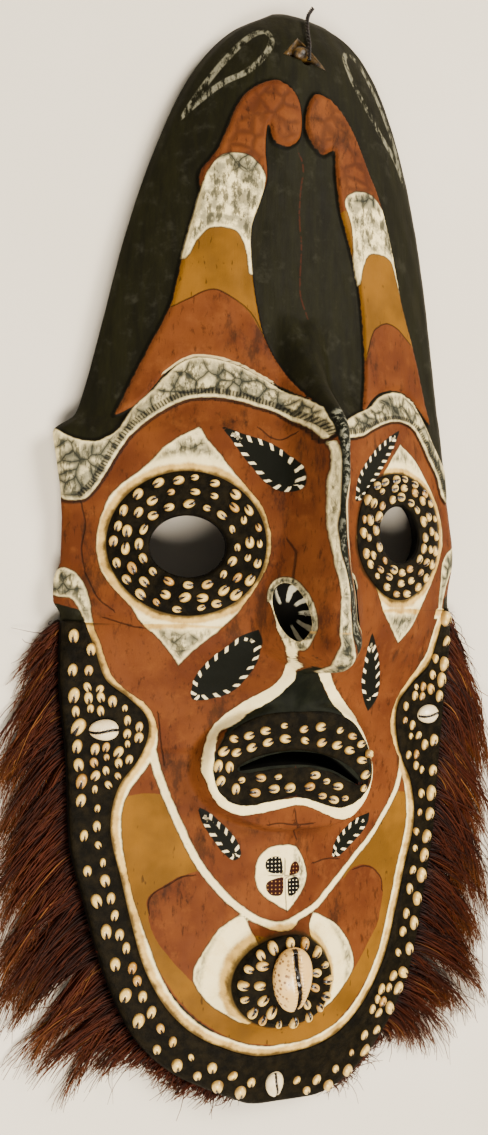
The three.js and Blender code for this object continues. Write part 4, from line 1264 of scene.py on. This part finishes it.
def wire_piece():
    """Two strands of wire twisted round each other."""
    share, path = wire_middle(60)
    tangent = np.gradient(path, axis=0)
    tangent /= np.linalg.norm(tangent, axis=1)[:, None]
    across = np.cross(tangent, [0.0, 0.0, 1.0])
    across /= np.linalg.norm(across, axis=1)[:, None]
    above = np.cross(across, tangent)
    forms = []
    for phase in (0, math.pi):
        turn = (phase + share * 2 * math.pi * WIRE_TURNS)[:, None]
        centre = path + WIRE_OFFSET * (np.cos(turn) * across + np.sin(turn) * above)
        rings = np.stack([centre + WIRE_RADIUS * (math.cos(a) * across + math.sin(a) * above)
                          for a in round_turns(10)], axis=1)
        corners, faces = tube(rings)
        forms.append((corners, outward(corners, faces)))
    piece = make_piece("hanging_wire_twisted", *together(forms), [MATERIALS["wire"]], "wire")
    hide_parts("hanging_wire")


# Materials

PAINT_SHEEN = 0.06
DULL = 0.05


def colour_of(text):
    """An sRGB hex colour as linear values."""
    parts = [int(text[i:i + 2], 16) / 255 for i in (1, 3, 5)]
    linear = [c / 12.92 if c <= 0.04045 else ((c + 0.055) / 1.055) ** 2.4 for c in parts]
    return (*linear, 1)


class Material:
    """A material, whose colour and bump are worked out by nodes. Noise sizes are in mm."""

    def __init__(self, name, roughness, sheen=0.5):
        self.data = bpy.data.materials.new(name)
        self.data.use_nodes = True
        self.tree = self.data.node_tree
        self.shader = self.tree.nodes["Principled BSDF"].inputs
        self.join(roughness, self.shader["Roughness"])
        self.join(sheen, self.shader["Specular IOR Level"])
        self.place = self.add("TexCoord", out="Object")

    def add(self, kind, *inputs, out=0, named=None, **settings):
        """Adds a node with its settings and inputs, in order or named, and gives one output back.

        A kind in capitals is an operation of the Math node."""
        is_math = kind.isupper()
        made = self.tree.nodes.new("ShaderNodeMath" if is_math else "ShaderNode" + kind)
        if is_math:
            made.operation = kind
        for key, value in settings.items():
            setattr(made, key, value)
        for key, value in [*enumerate(inputs), *(named or {}).items()]:
            self.join(value, made.inputs[key])
        return made.outputs[out]

    def join(self, value, socket):
        """Gives a socket a value, a hex colour, a node's output or a field that the mesh carries."""
        if isinstance(value, str) and value.startswith("#"):
            value = colour_of(value)
        elif isinstance(value, str):
            value = self.add("Attribute", attribute_name=value, out="Fac")
        if isinstance(value, bpy.types.NodeSocket):
            self.tree.links.new(value, socket)
        else:
            socket.default_value = value

    def times(self, first, *more):
        for value in more:
            first = self.add("MULTIPLY", first, value)
        return first

    def step(self, value, low, high):
        """Zero below low, one above high, smooth between; the other way round if low is higher."""
        return self.add("MapRange", value, low, high, interpolation_type="SMOOTHSTEP")

    def away_from(self, value, middle):
        return self.add("ABSOLUTE", self.add("SUBTRACT", value, middle))

    def layer(self, below, above, *amounts):
        """One colour laid over another, as much as the product of some amounts."""
        named = {0: self.times(*amounts), 6: below, 7: above}
        return self.add("Mix", named=named, data_type="RGBA", out=2)

    def noise(self, size, detail=3.0, rough=0.55, stretch=None):
        """Noise whose lumps are about size mm across, drawn out along an axis if stretched."""
        place = self.place
        if stretch:
            place = self.add("VectorMath", place, stretch, operation="MULTIPLY")
        named = {"Vector": place, "Scale": 1000 / size, "Detail": detail, "Roughness": rough}
        return self.add("TexNoise", named=named)

    def cracks(self, size, warp):
        """Distance to the borders of cells about size mm across, as a share of their size."""
        bend = self.add("TexNoise", named={"Vector": self.place, "Scale": 1000 / size, "Detail": 2.0},
                        out="Color")
        bent = self.add("VectorMath", bend, (warp * size * MM,) * 3, operation="MULTIPLY")
        moved = self.add("VectorMath", self.place, bent, operation="ADD")
        return self.add("TexVoronoi", named={"Vector": moved, "Scale": 1000 / size},
                        feature="DISTANCE_TO_EDGE", out="Distance")

    def bump(self, height, strength, depth):
        named = {"Height": height, "Strength": strength, "Distance": depth * MM}
        self.join(self.add("Bump", named=named), self.shader["Normal"])

    def finished(self, colour):
        self.join(colour, self.shader["Base Color"])
        return self.data


class EarthPaint(Material):
    """Earth paints brushed on carved softwood in layers, scaly and dirty where they are old."""

    def __init__(self):
        super().__init__("earth_paint_on_wood", 0.7, PAINT_SHEEN)
        self.wobble = self.add("MULTIPLY_ADD", self.noise(5, 4.0), 1.8, -0.9)
        self.scratch = self.noise(4, 5.0, 0.7, (1.0, 0.35, 1.0))
        self.cloud = self.noise(40)
        self.smudge = self.noise(12, 5.0, 0.65)
        self.fleck = self.noise(4, 6.0, 0.7)
        self.cells = self.cracks(12.5, 0.35)
        uneven = self.add("MULTIPLY_ADD", self.wobble, 0.02, self.cells)
        self.borders = self.times(self.step(uneven, 0.24, 0.02), "scaly")

    def shade(self, dark, light, by, low, high):
        return self.layer(dark, light, self.step(by, low, high))

    def ragged(self, name, amount):
        """A field with a little of the brush's wobble added."""
        return self.add("MULTIPLY_ADD", self.wobble, amount, name)

    def painted(self, name, spread=0.35, amount=1.0):
        """Where an area is painted, with a ragged edge."""
        return self.step(self.ragged(name, amount), -spread, spread)

    def line(self, name, width):
        """A thin line, kept out of far places where only the side of the nearest line changes."""
        off = self.add("ABSOLUTE", self.ragged(name, 0.5))
        near = self.step(name + "_near", width / 2 + 2.2, width / 2 + 1.2)
        return self.times(self.step(off, width / 2 + 0.3, width / 2 - 0.3), near)

    def black(self):
        """The ground of soot black, rubbed grey in places."""
        grain = self.noise(9, 6.0, 0.7, (1.0, 0.12, 1.0))
        black = self.shade("#0f0e06", "#191809", grain, 0.3, 0.75)
        return self.layer(black, "#35342a", self.step(self.smudge, 0.52, 0.78), 0.4)

    def orange(self):
        """Burnt red earth, streaked and stained along the grain."""
        orange = self.shade("#633515", "#502710", self.cloud, 0.35, 0.65)
        orange = self.layer(orange, "#70401c", self.step(self.smudge, 0.5, 0.72), 0.5)
        orange = self.layer(orange, "#1e0e05", self.step(self.scratch, 0.55, 0.68), 0.6)
        stain = self.step(self.noise(26, 6.0, 0.75, (1.0, 0.4, 1.0)), 0.53, 0.66)
        return self.layer(orange, "#1c120a", stain, 0.62)

    def ochre(self):
        """Yellow earth with short dark dashes."""
        ochre = self.shade("#764e12", "#5e3e0e", self.cloud, 0.35, 0.65)
        dashes = self.step(self.noise(3.4, 2.0, 0.5, (1.0, 0.28, 1.0)), 0.66, 0.72)
        return self.layer(ochre, "#1c1408", dashes, 0.6)

    def cream(self):
        """Clay or lime white gone cream, flecked dark, and cracked into scales with age."""
        cream = self.shade("#f8e4a6", "#e2c884", self.smudge, 0.45, 0.8)
        cream = self.layer(cream, "#55584c", self.step(self.smudge, 0.4, 0.58), "flecked", 0.75)
        cream = self.layer(cream, "#77745c", "scaly", 0.3)
        cream = self.layer(cream, "#3a3c33", self.borders, 0.85)
        cream = self.layer(cream, "#15160f", self.step(self.cells, 0.035, 0.01), "scaly", 0.8)
        cream = self.layer(cream, "#27281f", self.step(self.scratch, 0.48, 0.58), "flecked", 0.8)
        return self.layer(cream, "#6e6040", self.step(self.fleck, 0.62, 0.72), 0.4)

    def with_paste_stain(self, colour):
        """The paste's stain: tan on the cream beside it, dark at its edge and black under it."""
        near = self.add("MULTIPLY_ADD", self.smudge, 5.0, self.add("SUBTRACT", "pasted", 2.5))
        tan = self.shade("#d2a648", "#966c20", self.smudge, 0.35, 0.7)
        colour = self.layer(colour, tan, self.step(near, -7.0, -4.5), self.painted("cream"), 0.85)
        colour = self.layer(colour, "#241705", self.step(near, -3.2, -0.8), 0.85)
        return self.layer(colour, "#060402", self.step("pasted", -0.8, 0.4))

    def with_brow_strokes(self, colour):
        """A dark hatched band a little in from the lower edge of each brow."""
        strokes = self.add("SINE", self.times("brow_run", 3.0))
        strokes = self.step(self.add("ADD", strokes, self.wobble), -0.2, 0.5)
        from_edge = self.ragged("brow_edge", 0.5)
        band = self.times(self.step(from_edge, 1.9, 2.6), self.step(from_edge, 7.2, 5.6))
        return self.layer(colour, "#0d0c08", band, self.add("MULTIPLY_ADD", strokes, 0.4, 0.5))

    def with_ink(self, colour, cream):
        """Black on the nose's flank, flecked pale, and above the lips, with the mouth's cream line."""
        ink = self.shade("#0b0d07", "#16180f", self.smudge, 0.35, 0.7)
        worn = self.step(self.fleck, 0.5, 0.6)
        ink = self.layer(ink, "#9c9b84", worn, self.step("nose_shade", 0.0, 3.0), 0.6)
        colour = self.layer(colour, ink, self.painted("ink"))
        return self.layer(colour, cream, self.painted("lined"))

    def with_leaves(self, colour):
        """Black leaves with pale ticks slanting in from their outlines, 7.6 mm apart."""
        colour = self.layer(colour, "#0e0f09", self.painted("leaf", 0.3, 0.4))
        beat = self.add("FRACT", self.add("DIVIDE", self.add("ADD", "leaf_run", self.wobble), 7.6))
        tick = self.step(self.away_from(beat, 0.5), 0.2, 0.12)
        inward = self.ragged("ticked", 1.2)
        along_edge = self.times(self.step(inward, 0.0, 0.5), self.step(inward, 3.9, 3.1))
        return self.layer(colour, "#ecdcae", tick, along_edge)

    def with_petals(self, colour):
        """Dark and red petals on the chin, dotted in a grid of 2.7 mm."""
        x, y = (self.add("SINE", self.times(name, 1.16)) for name in ("even_x", "even_y"))
        dots = self.step(self.add("ABSOLUTE", self.times(x, y)), 0.8, 0.93)
        dark = self.layer("#0b0a06", "#e6d5a6", dots)
        colour = self.layer(colour, dark, self.painted("dark_petal", 0.3, 0.3))
        red = self.layer("#260d07", "#94652c", dots)
        return self.layer(colour, red, self.painted("red_petal", 0.3, 0.3))

    def with_teardrops(self, colour):
        """The outlines of two drops on the crown, brushed thin and grey."""
        outline = self.step(self.add("ABSOLUTE", self.add("ADD", "tear", -1.6)), 2.5, 1.5)
        return self.layer(colour, "#77745f", outline, self.step(self.scratch, 0.58, 0.42), 0.85)

    def with_lines(self, colour):
        """Thin lines: painted, dark (cracks, and painted shadow under the wings' upper edges), and cracked
        down to the red wood.
        """
        colour = self.layer(colour, "#cdb987", self.line("light_line", 1.5), 0.75)
        # Dark lines: cracks, and painted shadow along the wings' upper edges
        colour = self.layer(colour, "#0c0805", self.line("dark_line", 1.1), 0.65)
        broken = self.step(self.fleck, 0.4, 0.52)
        return self.layer(colour, "#4a1a09", self.line("red_line", 1.2), broken, 0.4)

    def surface(self):
        """Uneven sheen, and a bump of grain, flecks, the scales' borders and the cracks."""
        self.join(self.add("MULTIPLY_ADD", self.smudge, 0.25, 0.5), self.shader["Roughness"])
        fine_grain = self.noise(2.4, 4.0, 0.6, (1.0, 0.1, 1.0))
        height = self.add("MULTIPLY_ADD", fine_grain, 0.4, self.times(self.fleck, 0.4))
        height = self.add("MULTIPLY_ADD", self.borders, -0.5, height)
        height = self.add("MULTIPLY_ADD", self.line("dark_line", 0.8), -0.8, height)
        self.bump(height, 0.6, 0.7)


def paint_material():
    paint = EarthPaint()
    colour = paint.layer(paint.black(), paint.orange(), paint.painted("orange"))
    colour = paint.layer(colour, paint.ochre(), paint.painted("ochre"))
    colour = paint.layer(colour, "#1f0d06", paint.borders, 0.45)
    cream = paint.cream()
    colour = paint.layer(colour, cream, paint.painted("cream"))
    outline = paint.add("ABSOLUTE", paint.ragged("cream", 0.6))
    colour = paint.layer(colour, "#140f08", paint.step(outline, 0.9, 0.2), 0.65)
    colour = paint.with_paste_stain(colour)
    colour = paint.with_brow_strokes(colour)
    colour = paint.with_ink(colour, cream)
    colour = paint.with_leaves(colour)
    colour = paint.with_teardrops(colour)
    colour = paint.with_petals(colour)
    colour = paint.with_lines(colour)
    # Painted shadow: near-black in a band round the edges of the raised figures and brows, mostly just
    # outside them
    painted_relief_shadow = paint.times(paint.step("relief", -3.0, -1.2), paint.step("relief", 0.2, -0.6))
    colour = paint.layer(colour, "#070603", painted_relief_shadow, 0.75)
    paint.surface()
    return paint.finished(colour)


def plain_material(name, dark, light, size, roughness, bump_size, bump_depth, stretch=None, sheen=DULL):
    """Two shades in patches of a given size, with a fine bump."""
    plain = Material(name, roughness, sheen)
    patches = plain.step(plain.noise(size, 4.0, 0.6, stretch), 0.35, 0.7)
    plain.bump(plain.noise(bump_size, 4.0, 0.6, stretch), 0.8, bump_depth)
    return plain.finished(plain.layer(dark, light, patches))


def nostril_material():
    """Near-black inside a nostril, partly black paint and partly painted shade deep in it, with broad
    white strokes round its inner and upper wall.
    """
    paint = Material("nostril_paint_and_painted_shade", 0.8, PAINT_SHEEN)
    beat = paint.add("FRACT", paint.add("MULTIPLY_ADD", paint.noise(6), 0.2, "nostril_turn"))
    strokes = paint.step(paint.away_from(beat, 0.5), 0.22, 0.14)
    below_rim = paint.step("from_rim", 0.6, 1.4)
    outer = paint.step("nostril_reach", 7.0, 9.0)
    inner_side = paint.step("nostril_far", -5.0, -2.0)
    mottle = paint.add("MULTIPLY_ADD", paint.noise(4, 4.0), 0.6, 0.5)
    # The near-black is black paint and painted shade together; the strokes are white paint
    return paint.finished(paint.layer("#0b0a07", "#d9d2b4", strokes, below_rim, outer, inner_side, mottle))


def small_shell_material():
    """Cut snail shells: glossy cream, with painted shade as a brown rim round each dome, tan round the
    mouth and near-black in the mouth.
    """
    shell = Material("small_sea_shell", 0.28)
    half_mouth = shell.add("MULTIPLY_ADD", "shell_a", 0.17, 0.42)
    inside = shell.add("SUBTRACT", half_mouth, shell.away_from("shell_b", 0.2))
    colour = shell.layer("#e2bf68", "#a8742e", shell.step("tone", 0.75, 1.05))
    colour = shell.layer(colour, "#c99f4e", shell.step(shell.noise(3), 0.4, 0.7), 0.4)
    # Painted shade: brown toward the rim of each dome, where it turns down into the paste
    colour = shell.layer(colour, "#62390f", shell.step("edge", 0.72, 1.05), 0.8)
    # Painted shade: tan round the mouth, darkening toward the slit
    stain = shell.times(shell.step(inside, -1.5, 0.2), shell.step("shell_a", -1.6, 1.4))
    colour = shell.layer(colour, "#6e420f", stain, 0.75)
    # Painted shade: near-black in the mouth, for the depth of its opening
    mouth = shell.times(shell.step(inside, -0.2, 0.1), shell.step("shell_a", -1.6, -0.4))
    return shell.finished(shell.layer(colour, "#120d08", mouth))


def cowrie_material():
    """Cowries: glossy porcelain white, toothed along a slit painted near-black as the shade in its
    opening, the large one spotted.
    """
    shell = Material("cowrie_shell", 0.22)
    colour = shell.layer("#efdcae", "#dcbb7c", shell.step(shell.noise(9), 0.4, 0.75))
    colour = shell.layer(colour, "#dfae58", "spots", 0.8)
    teeth = shell.step(shell.add("SINE", shell.times("shell_a", 75.0)), 0.1, 0.7)
    near_slit = shell.add("SUBTRACT", 1.0, shell.step("slit", 0.08, 0.2))
    colour = shell.layer(colour, "#7a5836", teeth, near_slit, 0.6)
    # Painted shade: near-black along the slit, for the depth of the opening
    colour = shell.layer(colour, "#140d08", shell.step("slit", 0.075, 0.055))
    spots = shell.add("TexVoronoi", named={"Vector": shell.place, "Scale": 1000 / 2.8}, out="Distance")
    one_side = shell.times(shell.step("shell_b", 0.14, 0.3), "spots")
    colour = shell.layer(colour, "#5c3316", shell.step(spots, 0.44, 0.3), one_side, 0.85)
    return shell.finished(colour)


def fibre_material():
    """Dry plant fibre, dark red-brown with some golden strands, with painted shade blackening it toward
    its roots.
    """
    fibre = Material("dry_plant_fibre", 0.6, 0.15)
    colour = fibre.layer("#140400", "#3d1502", fibre.step("tone", 0.05, 0.5))
    colour = fibre.layer(colour, "#7c4e20", fibre.step("tone", 0.6, 0.9))
    colour = fibre.layer(colour, "#74400f", fibre.step("run", 0.6, 1.0), 0.4)
    # Painted shade: near-black toward the roots, where the strands crowd along the rim
    return fibre.finished(fibre.layer(colour, "#0a0201", fibre.step("run", 0.35, 0.0), 0.8))


ALONG_GRAIN = (1.0, 0.15, 1.0)
MATERIALS = {
    "paint": paint_material(),
    # Bare softwood of the hollow back, browned with age
    "back": plain_material("bare_softwood", "#24170b", "#3c2815", 30, 0.8, 4, 0.5, ALONG_GRAIN, 0.1),
    # The insides of the eye holes, painted near-black as the shade inside them
    "hole": plain_material("eye_hole_painted_shade", "#050403", "#0c0a06", 8, 0.8, 2, 0.4),
    # Worn brown wood and old resin in the pocket of the crown, which shines a little
    "worn": plain_material("worn_brown_wood", "#0b0702", "#553d12", 5, 0.45, 2, 0.4, sheen=0.4),
    "nostril": nostril_material(),
    # Near-black in the mouth's blind gap, painted shade for its dark depth
    "black": plain_material("mouth_gap_painted_shade", "#020201", "#060503", 8, 0.85, 2, 0.3),
    # Gum and charcoal paste that holds the shells, dull and gritty
    "paste": plain_material("charcoal_paste", "#080602", "#171207", 7, 0.65, 2.2, 0.8),
    "small_shell": small_shell_material(),
    "cowrie": cowrie_material(),
    # Iron wire under dark paint and rust
    "wire": plain_material("painted_iron_wire", "#070503", "#1a0f08", 5, 0.5, 1.5, 0.2, sheen=0.3),
    "fibre": fibre_material(),
    # Pale studio floor, nearly even
    "floor": plain_material("pale_floor", "#dfd6c3", "#e4dbca", 300, 0.9, 30, 0.01),
}


# Making the mask

# The body's materials in the order of the numbers that the cutters name
BODY_MATERIALS = ("paint", "back", "hole", "nostril", "black", "worn")
NOSTRIL_STROKES = 9


def rim_distance(points, from_wall, below):
    """Distance in mm from the nostrils' rims, for the corners on their walls."""
    wall = np.abs(from_wall) < 0.5
    rim = points[wall & (below < 0.8)]
    distance = np.full(len(points), FAR_OFF)
    distance[wall] = np.linalg.norm(points[wall][:, None] - rim[None], axis=2).min(1)
    return distance


def nostril_fields(points, y, from_wall):
    """For the strokes: distance from the rim, the turn, the reach, and how far inward and up."""
    side = np.where(points[:, 0] < 0, -1, 1)
    outward_x = side * points[:, 0] - NOSTRIL["x"]
    up = y - NOSTRIL["y"]
    return {
        "from_rim": rim_distance(points, from_wall, front(points[:, 0], y) - points[:, 2]),
        "nostril_turn": np.arctan2(up, outward_x) * NOSTRIL_STROKES / (2 * math.pi),
        "nostril_reach": np.hypot(outward_x, up),
        "nostril_far": 0.35 * up - outward_x,
    }


def make_body():
    corners, faces = tube(body_rings())
    materials = [MATERIALS[name] for name in BODY_MATERIALS]
    body = make_piece("carved_body", corners, outward(corners, faces), materials, "painted_wood")
    cutters = [
        (*tube(hollow_rings()), 1), (*tube(eye_rings(-1)), 2), (*tube(eye_rings(1)), 2),
        (*tube(nostril_rings(-1)), 3), (*tube(nostril_rings(1)), 3), (*tube(groove_rings()), 4),
        (*pocket_form(), 5), (*tube(hole_rings()), 5)]
    carve(body, cutters)
    carve(body, [(*tube(lug_rings()), 5)], "UNION")
    mesh = body.data
    flat = np.zeros(len(mesh.vertices) * 3)
    mesh.vertices.foreach_get("co", flat)
    points = flat.reshape(-1, 3) / MM
    y = even_height(points[:, 0], points[:, 1])
    fields = paint_fields(points[:, 0], y, points[:, 2])
    set_fields(mesh, {**fields, **nostril_fields(points, y, fields["nostril"])})
    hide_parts("mask_body")


RING_GAP = 0.5


def make_eye_rings():
    for side, name in ((-1, "left"), (1, "right")):
        hole = (EYE["half_x"] + RING_GAP, EYE["half_y"] + RING_GAP)
        inner = circle(side * EYE["hole_x"], EYE["hole_y"], *hole, 140)
        outer = circle(side * EYE["x"], EYE["y"], EYE["radius"], EYE["radius"], 140)
        paste_piece(f"{name}_eye_ring", inner, outer, True, f"{name}_eye_paste", 1.5, 3)
        shells(f"{name}_eye_shells", eye_spots(side, 31 + side), 33 + side)


def make_lip_ring():
    count = 16 * len(LIP_OUTLINE)
    inner = loop_through(LIP_GROOVE, RING_GAP, count)
    outer = loop_through(LIP_OUTLINE, 0, count)
    paste_piece("lip_ring", inner, outer, True, "lip_paste", 2, 3)
    shells("lip_shells", lip_spots(), 51)


def make_chin_disc():
    inner = circle(0, DISC["y"], 0.5, 0.5, 120)
    outer = circle(0, DISC["y"], DISC["half_x"], DISC["half_y"], 120)
    paste_piece("chin_disc", inner, outer, True, "chin_paste", 0.5, 5)
    shells("chin_shells", disc_spots(), 61)


def make_jaw_band():
    paste_piece("jaw_band", *band_edges(420), False, "jaw_band_paste", 2.5, 2.5)
    shells("jaw_shells", band_spots(), 71)


# Each lamp's place and size in metres, and its power in watts: the key is high on the right, one
# lights the face from over the chin, and a weak one opens the shadows on the left
LAMPS = {
    "key": ((1.0, 0.9, 1.7), 1.0, 95),
    "top": ((-0.45, -1.15, 1.75), 0.8, 85),
    "fill": ((-1.4, -1.3, 1.3), 1.2, 14),
}
LAMP_COLOUR = "#fff6ea"
WORLD_COLOUR = "#fbf6ee"
WORLD_STRENGTH = 0.32
FLOOR_HALF = 3000


def make_lamp(name, place, size, power):
    data = bpy.data.lights.new(name, "AREA")
    data.size = size
    data.energy = power
    data.color = colour_of(LAMP_COLOUR)[:3]
    lamp = bpy.data.objects.new(name, data)
    bpy.context.collection.objects.link(lamp)
    lamp.location = place
    lamp.rotation_mode = "QUATERNION"
    lamp.rotation_quaternion = (-Vector(place)).to_track_quat("-Z", "Y")


def make_stage():
    corners = [(x * FLOOR_HALF, y * FLOOR_HALF, 0) for x, y in ((-1, -1), (1, -1), (1, 1), (-1, 1))]
    floor = make_piece("floor", corners, [(0, 1, 2, 3)], [MATERIALS["floor"]], None)
    for name, values in LAMPS.items():
        make_lamp(name, *values)
    world = bpy.data.worlds.new("studio")
    world.use_nodes = True
    background = world.node_tree.nodes["Background"].inputs
    background["Color"].default_value = colour_of(WORLD_COLOUR)
    background["Strength"].default_value = WORLD_STRENGTH
    bpy.context.scene.world = world


make_body()
make_eye_rings()
make_lip_ring()
make_chin_disc()
make_jaw_band()
for name, size in COWRIES.items():
    cowrie_piece(name, **size)
fringe_piece(-1, "left_fringe")
fringe_piece(1, "right_fringe")
wire_piece()
make_stage()
